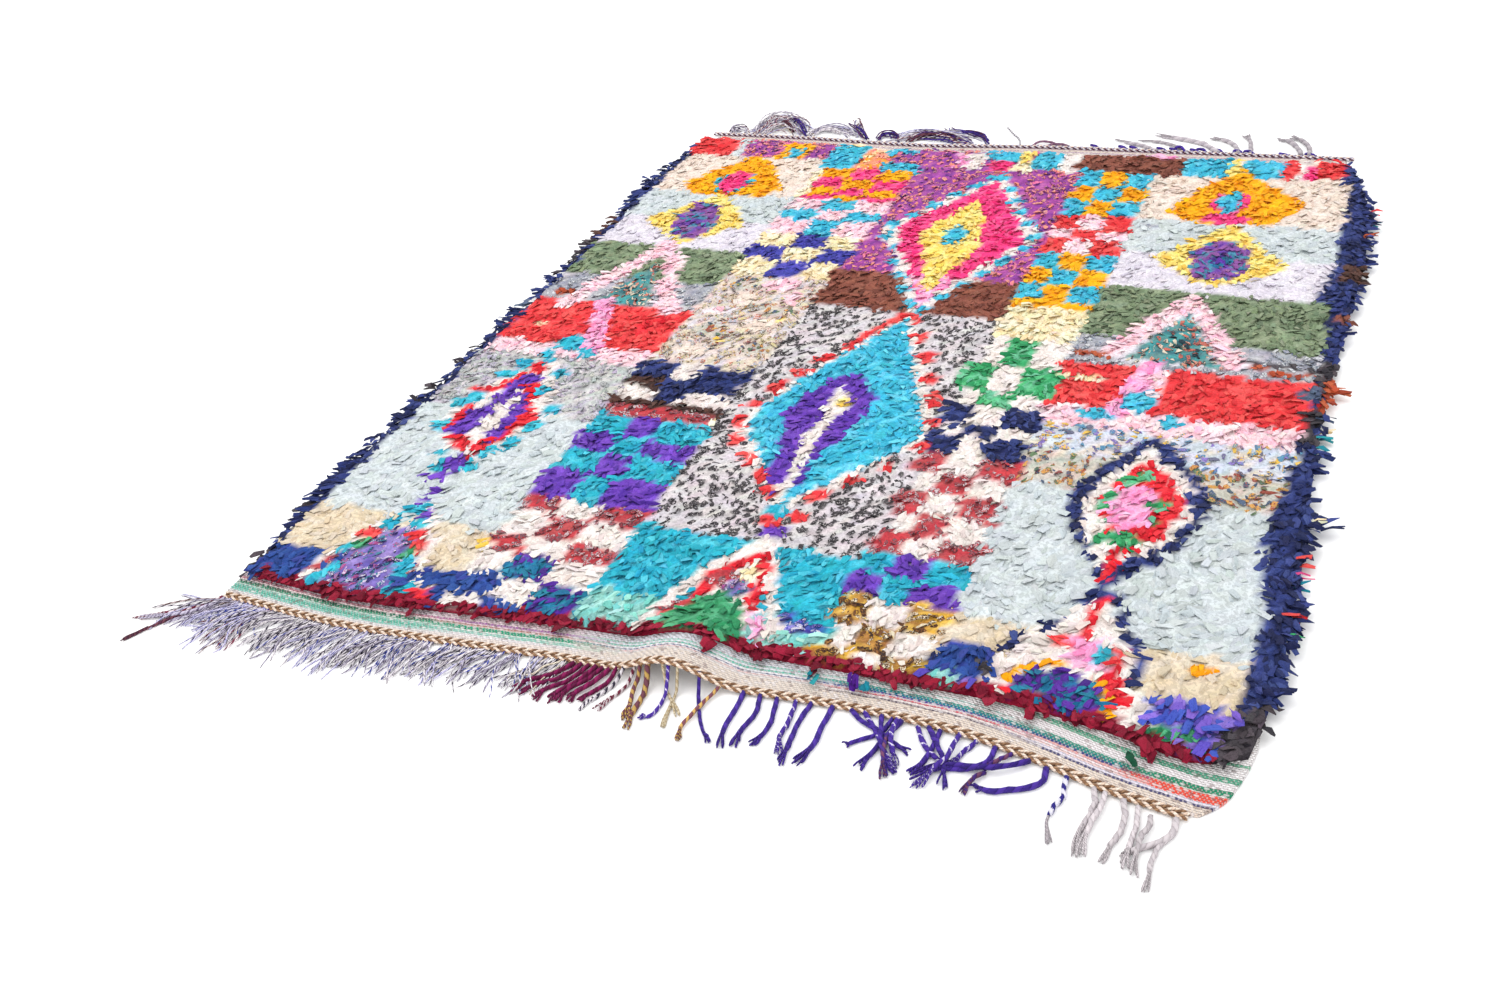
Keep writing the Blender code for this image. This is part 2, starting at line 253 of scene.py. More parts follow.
design = {
    "grounds": [
        block("navy", -900, 900, -1000, 1000),
        # far rows
        block("ivory", -735, 720, 710, 1000),
        # left column
        block("ivory", -735, -380, 555, 760), block("iceBlue", -735, -380, 420, 555),
        block("lilac", -735, -380, 280, 420), block("sage", -735, -370, 135, 285),
        block("denimGrey", -735, -380, 25, 140), block("red", -735, -385, -130, 28),
        block("palePink", -735, -385, -180, -130), block("paleGrey", -735, -385, -370, -180),
        block("iceBlue", -735, -385, -690, -370), block("creamYellow", -735, -380, -800, -690),
        block("royal", -735, -380, -900, -800),
        # left chequers
        block("cream", -385, -165, -900, 720),
        # centre
        block("violetPrint", -175, 205, 250, 880), block("brown", -175, 205, 100, 250),
        block("leopard", -185, 205, -615, 105), block("turquoise", -180, 205, -775, -615),
        block("mint", -180, 205, -900, -775),
        # right chequers
        block("white", 200, 340, -900, 770),
        # right column
        block("ivory", 335, 730, 560, 780), block("iceBlue", 335, 730, 420, 560),
        block("lilac", 335, 730, 265, 420), block("sage", 335, 740, 90, 270),
        block("denimGrey", 335, 740, -5, 90), block("red", 335, 745, -145, -5),
        block("palePink", 335, 745, -205, -145), block("coolPrint", 335, 745, -280, -200),
        block("warmPrint", 335, 745, -400, -280), block("iceBlue", 335, 735, -690, -370),
        block("creamYellow", 335, 745, -780, -690), block("royalViolet", 345, 745, -900, -780),
    ],
    "farRow": [
        block("red", -740, -610, 755, 930), block("iceBlue", -630, -612, 755, 930),
        block("violetPrint", -610, -370, 757, 930), block("orange", -515, -445, 755, 840),
        spot("cyan", -475, 785, 20, 30), block("cyan", -390, -310, 710, 860),
        block("orangePrint", -310, -240, 700, 830), block("cream", -370, -250, 840, 930),
        block("cyan", -250, -160, 710, 760), block("cyan", -260, -190, 800, 930),
        block("violetPrint", -240, -90, 760, 810), block("violetPrint", -190, -90, 800, 930),
        block("pink", -90, -65, 760, 830), block("white", -68, -30, 750, 830),
        block("cyan", -30, 45, 800, 930), block("hotPink", -5, 35, 740, 800),
        block("yellow", 45, 68, 800, 930), block("cream", 40, 82, 750, 800),
        block("cyan", 80, 135, 765, 930), block("pink", 135, 165, 840, 930),
        block("white", 135, 180, 760, 870), block("brown", 175, 395, 765, 930),
        spot("violetPrint", 280, 872, 50, 12), spot("pink", 350, 868, 30, 12),
        block("cyan", 395, 495, 775, 930), line("yellow", 20, 500, 790, 500, 900),
        block("cyan", 515, 600, 780, 930), block("red", 595, 620, 780, 930),
        block("white", 620, 640, 780, 870), block("hotPink", 635, 665, 790, 850),
        block("red", 660, 715, 790, 950),
    ],
    "leftColumn": [
        # the orange lozenge
        shape("orange", -680, 600, -610, 690, -560, 765, -490, 700, -430, 590, -460, 545, -640, 545),
        spot("turquoise", -555, 615, 45, 55), spot("hotPink", -555, 615, 34, 55),
        # the yellow lozenge
        shape("yellow", -550, 560, -675, 410, -550, 295, -440, 405),
        shape("violetEye", -585, 500, -615, 420, -590, 340, -525, 320, -505, 400, -530, 480),
        spot("violetTeal", -560, 420, 12, 22),
        # the pink gable
        shape("tealPrint", -555, 220, -610, 30, -485, 30),
        line("palePink", 42, -660, 20, -630, 120, -600, 200, -570, 290, -515, 210, -490, 120, -440, 20),
        spot("rust", -690, 60, 20, 12),
        # the red band
        spot("brightRed", -460, -50, 20, 20), spot("brightRed", -430, -10, 25, 15),
        spot("cream", -675, -65, 12, 10), line("pink", 40, -580, 25, -520, -130),
        spot("turquoise", -570, -125, 32, 28), spot("turquoise", -595, -170, 22, 15),
        spot("turquoise", -525, -155, 22, 18),
        # the broken lozenge in its ring
        shape("white", -588, -203, -650, -290, -672, -400, -612, -500, -556, -512, -502, -430, -508, -300,
            -556, -213),
        *spots("turquoise", 15, 18, -588, -193, -618, -217, -635, -258, -650, -340, -672, -362, -660, -440,
            -613, -511, -594, -550, -541, -235, -534, -287, -490, -351, -495, -402, -505, -462, -534, -492,
            -543, -541),
        line("brightRed", 24, -588, -221, -554, -315, -519, -385, -538, -455, -563, -490),
        line("brightRed", 16, -604, -255, -632, -312, -672, -318),
        line("brightRed", 24, -645, -378, -642, -433, -588, -485),
        line("purple", 30, -574, -252, -603, -300, -604, -345), spot("purple", -617, -412, 26, 50),
        line("purple", 26, -575, -320, -545, -360, -548, -400, -553, -452),
        line("white", 22, -578, -335, -588, -396, -573, -456), spot("purple", -571, -536, 17, 22),
        line("purple", 14, -602, -588, -574, -578, -552, -562), spot("brightRed", -558, -519, 8, 8),
        # the last gable
        shape("lilacPrint", -589, -728, -523, -715, -500, -790, -455, -900, -612, -900, -606, -790),
        line("white", 20, -540, -650, -500, -715, -470, -785, -440, -840),
        line("white", 18, -598, -725, -622, -790, -645, -870),
        *spots("turquoise", 14, 15, -549, -668, -570, -687, -584, -712, -534, -702, -614, -788, -608, -842,
            -617, -864, -497, -797, -488, -820, -459, -855, -474, -872),
        *spots("purple", 10, 13, -554, -620, -562, -648, -532, -678),
        *spots("red", 15, 15, -600, -748, -515, -726, -496, -757),
        *spots("leafGreen", 13, 12, -594, -776, -506, -776),
        *spots("redPrint", 10, 12, -623, -822, -631, -842, -470, -808),
        spot("brightRed", -430, -866, 24, 20), spot("white", -425, -838, 14, 12),
        spot("yellow", -385, -725, 18, 14),
    ],
    "leftChequers": [
        *chequer({"O": "orange", "P": "hotPink"}, (-370, -305, -240, -165), (715, 665, 610, 575, 555),
            "OPO", "POP", "OPO", "POP"),
        *chequer({"T": "cyan", "P": "palePink"}, (-385, -305, -240, -165), (555, 500, 455, 385), "PTP",
            "TPT", "PTP"),
        *chequer({"I": "indigo", "C": "cream"}, (-390, -305, -235, -165), (385, 325, 265, 195), ".I.",
            "I.I", ".I."),
        block("creamPrint", -390, -175, -155, 195), spot("palePink", -260, 165, 35, 22),
        spot("warmPrint", -340, 150, 30, 30), spot("warmPrint", -250, 70, 50, 20),
        spot("warmPrint", -330, -30, 30, 30), spot("warmPrint", -215, -80, 30, 20),
        spot("ivory", -305, 100, 30, 20), spot("ivory", -240, 5, 30, 25), spot("ivory", -330, -105, 35, 20),
        spot("palePink", -215, 110, 15, 20), spot("palePink", -345, 45, 20, 15),
        spot("yellow", -210, 30, 10, 14), spot("yellow", -290, -60, 12, 10),
        *chequer({"N": "navy", "W": "white", "K": "darkBrown"}, (-400, -330, -275, -185), (-155, -210, -245,
            -285, -305), "NWN", "KNN", "WNW", "KKK"),
        block("redPrint", -395, -190, -338, -305),
        *chequer({"T": "turquoise", "P": "purple"}, (-400, -325, -270, -180), (-338, -400, -450, -510,
            -585), "TPT", "PTP", "TPT", "PTP"),
        *chequer({"R": "redPrint", "W": "white", "V": "violetTeal", "B": "royal"}, (-390, -330, -260, -175),
            (-585, -630, -685, -730, -785, -835, -900), "RWR", "WRW", "RWR", "WVW", "BWV", "WBV"),
    ],
    "centre": [
        # the pink lozenge
        shape("white", 30, 735, -145, 440, 30, 95, 185, 430),
        dashes("cyan", 22, 60, 30, 730, -140, 440, 30, 100, 180, 430, 30, 730),
        shape("hotPink", 28, 700, -118, 440, 30, 135, 157, 430), shape("pink", -20, 250, 30, 135, 75, 250),
        shape("yellow", 15, 610, -55, 430, 28, 170, 78, 400), spot("cyan", 10, 430, 22, 42),
        # the turquoise lozenge
        shape("white", 25, 100, -92, -152, -134, -260, -132, -340, 20, -540, 188, -300, 172, -230),
        dashes("red", 22, 60, 14, 90, -100, -145, -146, -260, -142, -340, -40, -460),
        line("red", 14, 10, 85, -35, -10),
        dashes("red", 22, 70, 35, 95, 180, -230, 192, -300, 20, -540, -40, -460),
        shape("cyan", 24, 80, -88, -158, -124, -260, -120, -330, 20, -510, 168, -300, 152, -235),
        spot("leopard", 165, -130, 28, 16), spot("leopard", 120, -400, 16, 22),
        spot("leopard", 150, -355, 12, 16), spot("leopard", 85, -475, 14, 18),
        shape("purple", 4, -118, -42, -150, -64, -200, -80, -255, -52, -355, -40, -430, 0, -505, 30, -440,
            26, -370, 46, -315, 62, -240, 55, -175),
        shape("white", -12, -165, -20, -200, -12, -260, -20, -330, -10, -410, 0, -510, 14, -510, 14, -400,
            8, -330, 20, -250, 18, -200),
        spot("yellow", 10, -212, 11, 18),
        # the joint below it
        spot("turquoise", 15, -535, 22, 18), spot("red", 20, -562, 20, 14), spot("red", 50, -540, 14, 12),
        spot("purple", 30, -585, 18, 22),
        # the last gable
        shape("white", 40, -625, -20, -735, -20, -800, 100, -800, 75, -740),
        line("white", 24, 36, -610, -14, -672, -38, -715, -55, -783, -72, -830),
        line("white", 22, 36, -610, 66, -660, 80, -710, 92, -748, 118, -795),
        line("brightRed", 20, 33, -640, 0, -678, -17, -700, -20, -765),
        line("brightRed", 18, 40, -640, 53, -692, 62, -730, 74, -765),
        line("redPrint", 18, -22, -765, -45, -795), line("pink", 20, 78, -772, 104, -812),
        spot("redPrint", 2, -702, 18, 22), spot("cream", 36, -682, 12, 20),
        spot("lilacPrint", 31, -722, 22, 20),
        shape("leafGreen", -45, -860, -36, -800, -18, -765, 6, -738, 34, -740, 64, -766, 88, -860),
        spot("royalPrint", 150, -775, 35, 14),
    ],
    "rightChequers": [
        *chequer({"T": "cyan", "O": "orange", "R": "red", "P": "palePink"}, (195, 240, 290, 345), (775, 695,
            630, 555, 490, 450, 385, 320, 260, 195, 170), "TOT", "OTO", "TOT", "RPR", "PRP", "RPR", "TOT",
            "OTO", "TOT", "OOO"),
        block("cream", 195, 340, 50, 170),
        *chequer({"G": "green", "N": "navy", "R": "redPrint", "V": "purple", "T": "turquoise", "D":
            "goldPrint"}, (180, 230, 280, 345), (50, -45, -135, -175, -235, -270, -325, -380, -435, -490,
            -540, -590, -640, -690, -750, -800, -900), ".G.", "G.G", ".G.", "N.N", ".N.", "N.N", "R.R",
            ".R.", "R.R", ".R.", "R.R", "TVT", "VTV", "D.D", ".D.", "D.D"),
    ],
    "rightColumn": [
        # the orange lozenge
        shape("orange", 400, 600, 450, 720, 520, 810, 590, 740, 655, 660, 600, 575, 530, 550, 450, 560),
        spot("hotPink", 515, 655, 36, 50), spot("cyan", 512, 655, 22, 50),
        spot("hotPink", 515, 578, 45, 25), spot("denimGrey", 370, 530, 30, 12),
        # the yellow lozenge
        shape("yellow", 535, 560, 405, 400, 530, 293, 655, 390), spot("violetEye", 530, 400, 56, 80),
        spot("violetTeal", 530, 400, 16, 24),
        # the pink gable
        shape("palePink", 510, 275, 370, 20, 635, 20), shape("lilac", 510, 215, 415, 10, 600, 10),
        shape("tealPrint", 510, 200, 430, 15, 590, 15), line("charcoal", 10, 620, 45, 740, 40),
        line("rust", 12, 340, 22, 400, 22), line("rust", 12, 640, 22, 730, 20),
        # the red band
        line("cream", 12, 340, -55, 420, -55), line("pink", 38, 480, 0, 450, -150),
        line("palePink", 20, 500, -20, 490, -120), spot("cyan", 480, -115, 26, 32),
        spot("cyan", 425, -162, 28, 16), spot("cyan", 540, -162, 20, 14),
        # the ringed lozenge
        shape("navy", 523, -200, 450, -335, 429, -405, 470, -500, 520, -580, 600, -480, 637, -400, 606,
            -297),
        shape("white", 523, -228, 468, -338, 449, -400, 484, -490, 517, -552, 590, -470, 617, -395, 588,
            -305),
        shape("brightRed", 526, -280, 490, -335, 474, -400, 496, -470, 530, -512, 580, -460, 599, -380, 566,
            -300),
        spot("pink", 527, -393, 33, 60),
        *spots("green", 11, 12, 527, -318, 510, -336, 492, -376, 487, -405, 499, -438, 563, -386, 557,
            -424),
        spot("green", 522, -476, 30, 22), line("brightRed", 18, 527, -515, 520, -565),
        line("navy", 16, 578, -515, 548, -552, 518, -598),
        # the last gable
        shape("white", 521, -605, 484, -665, 446, -710, 426, -760, 415, -815, 455, -840, 600, -830, 600,
            -740, 572, -680),
        dashes("navy", 16, 70, 518, -598, 494, -647, 479, -680, 440, -718, 424, -765),
        line("navy", 13, 540, -600, 553, -622, 567, -660, 587, -686, 599, -722, 604, -785),
        line("brightRed", 14, 527, -615, 526, -660, 520, -685),
        shape("pink", 505, -700, 545, -694, 560, -748, 510, -755),
        *spots("red", 13, 14, 498, -715, 567, -722), spot("turquoise", 552, -720, 11, 13),
        line("brightRed", 22, 566, -745, 572, -770, 588, -805),
        line("orange", 12, 440, -800, 452, -778, 478, -762, 500, -756),
        *spots("orange", 8, 9, 561, -777, 576, -795),
        shape("violetTeal", 438, -870, 452, -800, 475, -774, 510, -762, 555, -778, 590, -820, 600, -870),
        spot("brightRed", 445, -835, 10, 20), spot("orange", 578, -826, 18, 10),
        shape("white", 596, -785, 628, -790, 634, -845, 602, -845), spot("orange", 675, -715, 14, 10),
        block("royal", 345, 425, -810, -745), spot("charcoal", 408, -785, 12, 12),
        spot("white", 428, -800, 12, 16), spot("mint", 370, -815, 22, 12),
        shape("leafGreen", 620, -832, 690, -828, 700, -850, 625, -852),
    ],
    "leftBorder": [
        block("navy", -900, -748, -900, 900), block("darkBrown", -900, -744, 300, 400),
        block("charcoal", -900, -744, 130, 300), spot("rust", -690, 60, 18, 12),
        block("slate", -900, -746, -20, 10), block("charcoal", -900, -754, -380, -150),
        block("navy", -900, -758, -700, -380), block("charcoal", -900, -752, -800, -700),
        block("charcoal", -900, -735, -900, -820),
        *spots("navy", 14, 18, -748, -450, -750, -600, -745, -50),
    ],
    "rightBorder": [
        shape("navy", 700, 950, 725, 740, 738, 500, 738, 200, 745, 0, 900, 0, 900, 950),
        shape("navy", 745, 10, 738, -200, 728, -300, 714, -450, 735, -600, 728, -800, 900, -900, 900, 10),
        block("darkBrown", 742, 900, 355, 420), block("navy", 718, 900, 275, 355),
        spot("brown", 770, 222, 30, 14), block("charcoal", 742, 900, -20, 75),
        block("rust", 752, 900, -75, 30), spot("slate", 735, -30, 15, 20),
        block("charcoal", 735, 757, -175, -80), block("teal", 755, 900, -190, -155),
        shape("charcoal", 708, -825, 748, -765, 900, -750, 900, -1000, 716, -1000, 714, -860),
    ],
}

nearBand = {"fabric": "burgundy", "wide": 0.033, "from": -0.72, "to": 0.712}


# Which points lie in a shape: the even-odd rule on its sides, each counted where it crosses the point's own row.
def insideShape(x, y, corners):
    inside = np.zeros(np.shape(x), bool)
    for (ax, ay), (bx, by) in zip(corners, corners[1:] + corners[:1]):
        if ay == by:
            continue
        crosses = (ay > y) != (by > y)
        inside ^= crosses & (x < ax + (bx - ax) * (y - ay) / (by - ay))
    return inside


# How far each point is from a line of straight stretches, and how far along it its nearest place lies.
def nearLine(x, y, points):
    nearest = np.full(np.shape(x), np.inf)
    place = np.zeros(np.shape(x))
    passed = 0.0
    for (ax, ay), (bx, by) in zip(points, points[1:]):
        length = math.hypot(bx - ax, by - ay)
        t = np.clip(((x - ax) * (bx - ax) + (y - ay) * (by - ay)) / length**2, 0.0, 1.0)
        away = np.hypot(x - ax - t * (bx - ax), y - ay - t * (by - ay))
        closer = away < nearest
        nearest = np.where(closer, away, nearest)
        place = np.where(closer, passed + t * length, place)
        passed += length
    return nearest, place


def maskOf(kind, facts, x, y):
    if kind == "block":
        x0, x1, y0, y1 = facts
        return (x >= x0) & (x < x1) & (y >= y0) & (y < y1)
    if kind == "shape":
        return insideShape(x, y, facts)
    if kind == "spot":
        middleX, middleY, halfWidth, halfLength = facts
        return ((x - middleX) / halfWidth) ** 2 + ((y - middleY) / halfLength) ** 2 < 1
    away, place = nearLine(x, y, facts[-1])
    dashed = (place / facts[1]) % 1 < 0.5 if kind == "dashes" else True
    return (away < facts[0] / 2) & dashed


fabricNames = list(fabrics)


# The fabric at each point, as its number. The edges of the shapes wander by a few millimetres.
def fabricAt(x, y):
    wanderX = x + 0.0035 * drift(x, y, 0.055, 11) + 0.002 * drift(x, y, 0.021, 12)
    wanderY = y + 0.0035 * drift(x, y, 0.060, 13) + 0.002 * drift(x, y, 0.023, 14)
    found = np.zeros(np.shape(x), int)
    for shapes in design.values():
        for kind, fabricName, facts in shapes:
            found[maskOf(kind, facts, wanderX, wanderY)] = fabricNames.index(fabricName)
    inBand = (wanderY < along("pileNear", x) + nearBand["wide"]) & (x > nearBand["from"]) & (x < nearBand["to"])
    found[inBand] = fabricNames.index(nearBand["fabric"])
    return found


# Meshes from arrays.

# A piece from its points and its faces, in groups of as many corners, which rides on the rug's one body.
def newPiece(name, points, faceGroups, material, node):
    mesh = bpy.data.meshes.new(name)
    mesh.vertices.add(len(points))
    mesh.vertices.foreach_set("co", np.ascontiguousarray(points, np.float32).ravel())
    corners = np.concatenate([faces.ravel() for faces in faceGroups]).astype(np.int32)
    sizes = np.concatenate([np.full(len(faces), faces.shape[1]) for faces in faceGroups])
    mesh.loops.add(len(corners))
    mesh.loops.foreach_set("vertex_index", corners)
    mesh.polygons.add(len(sizes))
    mesh.polygons.foreach_set("loop_start", (np.cumsum(sizes) - sizes).astype(np.int32))
    mesh.update(calc_edges=True)
    mesh.materials.append(material)
    mesh.shade_smooth()
    piece = bpy.data.objects.new(name, mesh)
    bpy.context.collection.objects.link(piece)
    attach(piece, "root")
    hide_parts(node)
    return piece


def addColours(piece, name, colours):
    layer = piece.data.color_attributes.new(name, "FLOAT_COLOR", "POINT")
    rgba = np.ones((len(colours), 4), np.float32)
    rgba[:, :3] = colours
    layer.data.foreach_set("color", rgba.ravel())


def addNumbers(piece, name, values):
    layer = piece.data.attributes.new(name, "FLOAT", "POINT")
    layer.data.foreach_set("value", np.ascontiguousarray(values, np.float32).ravel())


def addUv(piece, name, cornerGroups):
    layer = piece.data.uv_layers.new(name=name)
    layer.data.foreach_set("uv", np.concatenate([corners.ravel() for corners in cornerGroups]).astype(np.float32))


# sRGB out of 255 to the linear values that a shader reads.
def linear(colours):
    share = np.asarray(colours, float) / 255
    return np.where(share <= 0.04045, share / 12.92, ((share + 0.055) / 1.055) ** 2.4)


# The faces of a sheet of points in rows, each face once round its four corners.
def gridFaces(rows, columns, wrap=False):
    across = columns if wrap else columns - 1
    i, j = np.meshgrid(np.arange(rows - 1), np.arange(across), indexing="ij")
    after = (j + 1) % columns
    return np.stack([i * columns + j, i * columns + after, (i + 1) * columns + after, (i + 1) * columns + j], -1)


# Shader values.

# A value in a material's nodes. Python's operators add its Math nodes.
class Link:
    def __init__(self, finish, socket):
        self.finish = finish
        self.socket = socket

    def calc(self, operation, first, second):
        return self.finish.node("ShaderNodeMath", {"operation": operation}, {0: first, 1: second})

    def __add__(self, other):
        return self.calc("ADD", self, other)

    __radd__ = __add__

    def __sub__(self, other):
        return self.calc("SUBTRACT", self, other)

    def __rsub__(self, other):
        return self.calc("SUBTRACT", other, self)

    def __mul__(self, other):
        return self.calc("MULTIPLY", self, other)

    __rmul__ = __mul__

    def __mod__(self, other):
        return self.calc("FLOORED_MODULO", self, other)

    def __gt__(self, other):
        return self.calc("GREATER_THAN", self, other)

    def __lt__(self, other):
        return self.calc("LESS_THAN", self, other)


# A material, and the ways to add to its nodes.
class Finish:
    def __init__(self, name, constants):
        self.material = bpy.data.materials.new(name)
        self.material.use_nodes = True
        self.tree = self.material.node_tree
        self.shader = self.tree.nodes["Principled BSDF"]
        for key, value in constants.items():
            self.shader.inputs[key].default_value = value

    def node(self, kind, settings=None, values=None, output=0):
        node = self.tree.nodes.new(kind)
        for key, value in (settings or {}).items():
            if key == "stops":
                self.setStops(node.color_ramp, value)
            else:
                setattr(node, key, value)
        for key, value in (values or {}).items():
            self.plug(node.inputs[key], value)
        return Link(self, node.outputs[output])

    def plug(self, socket, value):
        if isinstance(value, Link):
            self.tree.links.new(value.socket, socket)
        else:
            socket.default_value = value

    def setStops(self, ramp, stops):
        ramp.interpolation = "CONSTANT"
        while len(ramp.elements) < len(stops):
            ramp.elements.new(1.0)
        for element, (place, colour) in zip(ramp.elements, stops):
            element.position = place
            element.color = (*linear(colour), 1.0)

    def attribute(self, name, output=0):
        return self.node("ShaderNodeAttribute", {"attribute_name": name}, output=output)

    def uv(self, name):
        return self.node("ShaderNodeUVMap", {"uv_map": name})

    def parts(self, vector):
        split = self.node("ShaderNodeSeparateXYZ", values={0: vector})
        return split, Link(self, split.socket.node.outputs[1])

    def noise(self, vector, scale, detail=2.0, roughness=0.5):
        values = {"Vector": vector, "Scale": scale, "Detail": detail, "Roughness": roughness}
        return self.node("ShaderNodeTexNoise", values=values)

    def stretch(self, vector, scale):
        return self.node("ShaderNodeMapping", values={"Vector": vector, "Scale": scale})

    def mix(self, factor, first, second, how="MIX"):
        settings = {"data_type": "RGBA", "blend_type": how}
        return self.node("ShaderNodeMix", settings, {0: factor, 6: first, 7: second}, output=2)

    def sharpen(self, value, low, high):
        values = {"Value": value, "From Min": low, "From Max": high}
        return self.node("ShaderNodeMapRange", {"clamp": True}, values)

    def bump(self, height, distance, strength=1.0):
        return self.node("ShaderNodeBump", values={"Height": height, "Distance": distance, "Strength": strength})

    def finish(self, colour, normal, roughness):
        for key, value in {"Base Color": colour, "Normal": normal, "Roughness": roughness}.items():
            self.plug(self.shader.inputs[key], value)
        return self.material


clothShader = {"Specular IOR Level": 0.12, "Sheen Weight": 0.04, "Sheen Roughness": 0.5}


# Rag: the scrap's own shade, the specks of a print, painted shade that darkens it in its creases, with creases along
# it.
def ragFinish():
    rag = Finish("rag", clothShader)
    place = rag.uv("rag")
    specks = rag.noise(place, 225.0, 1.0)
    finer = rag.noise(place, 380.0, 1.0)
    amount = rag.attribute("amount", 2)
    first = rag.sharpen(specks + amount - 0.72, 0.0, 0.025)
    second = rag.sharpen(finer + amount - 0.78, 0.0, 0.03)
    colour = rag.mix(first, rag.attribute("shade"), rag.attribute("speck"))
    colour = rag.mix(second, colour, rag.attribute("speckToo"))
    creases = rag.noise(rag.stretch(place, (560.0, 200.0, 1.0)), 1.0, 4.0, 0.65)
    # light that bounces in a crease takes the cloth's colour twice, which darkens all but pale cloth
    creaseShade = rag.sharpen(creases, 0.48, 0.34)
    colour = rag.mix(creaseShade * 0.55, colour, rag.mix(1.0, colour, colour, "MULTIPLY"))
    normal = rag.bump(creases, 0.0034, 0.85)
    return rag.finish(colour, normal, 0.80 + 0.15 * creases)


# The deep pile between the scraps: the same shades, darker in patches, as painted shade of the deep pile.
def bedFinish():
    bed = Finish("deepPile", clothShader)
    place = bed.node("ShaderNodeTexCoord", output=3)
    tufts = bed.noise(place, 170.0, 2.0)
    shaded = bed.node("ShaderNodeValToRGB", {"stops": ((0.0, (232, 232, 232)), (0.5, (255, 255, 255)))}, {0: tufts})
    colour = bed.mix(1.0, bed.attribute("shade"), shaded, "MULTIPLY")
    return bed.finish(colour, bed.bump(tufts, 0.004), 0.95)


# The pile.

pile = {
    "pitch": (0.0075, 0.0076),  # from scrap to scrap along a row, and from row to row
    "jitter": 0.40,
    "rings": 3,
    "thick": 0.0007,
    "lowest": 0.0045,
    "widths": (0.6, 1.0, 0.85),  # at each ring, as a share of the scrap's width
    "rootHigh": (0.008, 0.014),
    "rise": (12, 44),  # how steeply a scrap leaves its knot, in degrees
    "droop": (-30, 10),  # how its tip lies
    "combed": 42,  # how far whole patches turn from straight towards the near end
    "patch": 0.17,  # and how wide such a patch is
    "spread": 24,  # how far one scrap turns from its patch
    "turn": 30,  # and from its knot to its tip
    "roll": 10,
    "fold": (0.06, 0.5),  # height of the ridge over the edges as a share of half the width
    "flat": 0.4,  # share of the scraps that lie with the ridge below
    "crumple": 0.0009,
    "above": 0.0105,  # how far the highest scraps may stand over the solids
    "lean": (0.004, 0.015),  # how far the design's place on the pile lies from that on the cloth
    "inset": 0.004,  # how far the knots stay inside the pile's outline
    "nearInset": 0.012,  # and at its near end
    "rim": (0.01, 0.745, 0.03),  # the rug's middle, and how far from it the locks begin to turn out, and over how much
    "corner": (-0.88, 0.12),  # where they begin to along the sides, and over how much
    "seenAt": 0.013,  # how far from its knot a scrap's fabric is read off the design
    "looseMoved": 0.006,
    "seed": 5,
    # the pieces that the pile is kept in, by the right-hand end of each
    "pieces": {
        "pileLeftBorder": -0.735,
        "pileLeftColumn": -0.385,
        "pileLeftChequers": -0.180,
        "pileCentre": 0.200,
        "pileRightChequers": 0.338,
        "pileRightColumn": 0.725,
        "pileRightBorder": 0.900,
    },
}


# Single tufts that stand out of their place, in millimetres: fabric, x, y, heading in degrees, width, length,
# and how many scraps each has.
tufts = (
    ("burgundy", 638, -872, -84, 16, 32, 4), ("darkGreen", 624, -898, -70, 9, 16, 3),
    ("deepViolet", 258, -860, -76, 8, 26, 4), ("teal", 281, -862, -74, 8, 22, 3),
    ("burgundy", 303, -848, -70, 12, 24, 3), ("burgundy", 329, -840, -70, 12, 24, 3),
    ("burgundy", 436, -848, -76, 12, 24, 3), ("burgundy", 204, -856, -90, 12, 22, 2),
    ("burgundy", 54, -862, -95, 12, 26, 3), ("burgundy", -180, -868, -88, 12, 26, 3),
    ("burgundy", -551, -895, -90, 12, 24, 2), ("burgundy", -426, -893, -88, 12, 24, 2),
    ("burgundy", 486, -846, -80, 12, 26, 3), ("teal", 208, -862, -84, 9, 22, 3),
    ("charcoal", 716, -862, -70, 11, 22, 7), ("charcoal", 730, -842, -60, 11, 24, 7),
    ("navy", 782, -392, 8, 9, 34, 3), ("cream", 768, -385, 5, 6, 24, 3), ("red", 765, -480, 0, 7, 26, 3),
    ("hotPink", 766, -510, -10, 7, 24, 2), ("teal", 768, -530, 0, 6, 24, 2),
    ("red", 764, -600, -8, 7, 26, 3), ("green", 764, -630, -14, 6, 24, 2), ("red", 770, 640, 4, 7, 26, 2),
    ("teal", 772, 590, 0, 6, 24, 2), ("rust", 772, 540, 2, 7, 26, 3), ("teal", 756, -168, 0, 9, 28, 3),
    ("cream", 756, -150, 6, 6, 24, 2), ("slate", 752, -110, -6, 8, 30, 2),
    ("navy", 752, -250, -4, 12, 34, 4), ("navy", 748, -330, 6, 12, 32, 3), ("navy", 752, 150, 0, 12, 34, 4),
    ("navy", 758, 320, 0, 12, 32, 4), ("rust", 760, -30, -4, 9, 34, 4),
    ("navy", -744, -450, 186, 10, 24, 3), ("navy", -746, -395, 180, 10, 24, 3),
    ("navy", -744, -610, 184, 10, 22, 3), ("navy", -742, -690, 188, 10, 22, 2),
    ("navy", -740, -100, 184, 11, 28, 4), ("navy", -738, -45, 180, 11, 30, 4),
    ("navy", -738, 40, 178, 11, 28, 4), ("navy", -736, 95, 182, 11, 28, 4),
    ("charcoal", -742, -250, 184, 9, 24, 3),
)


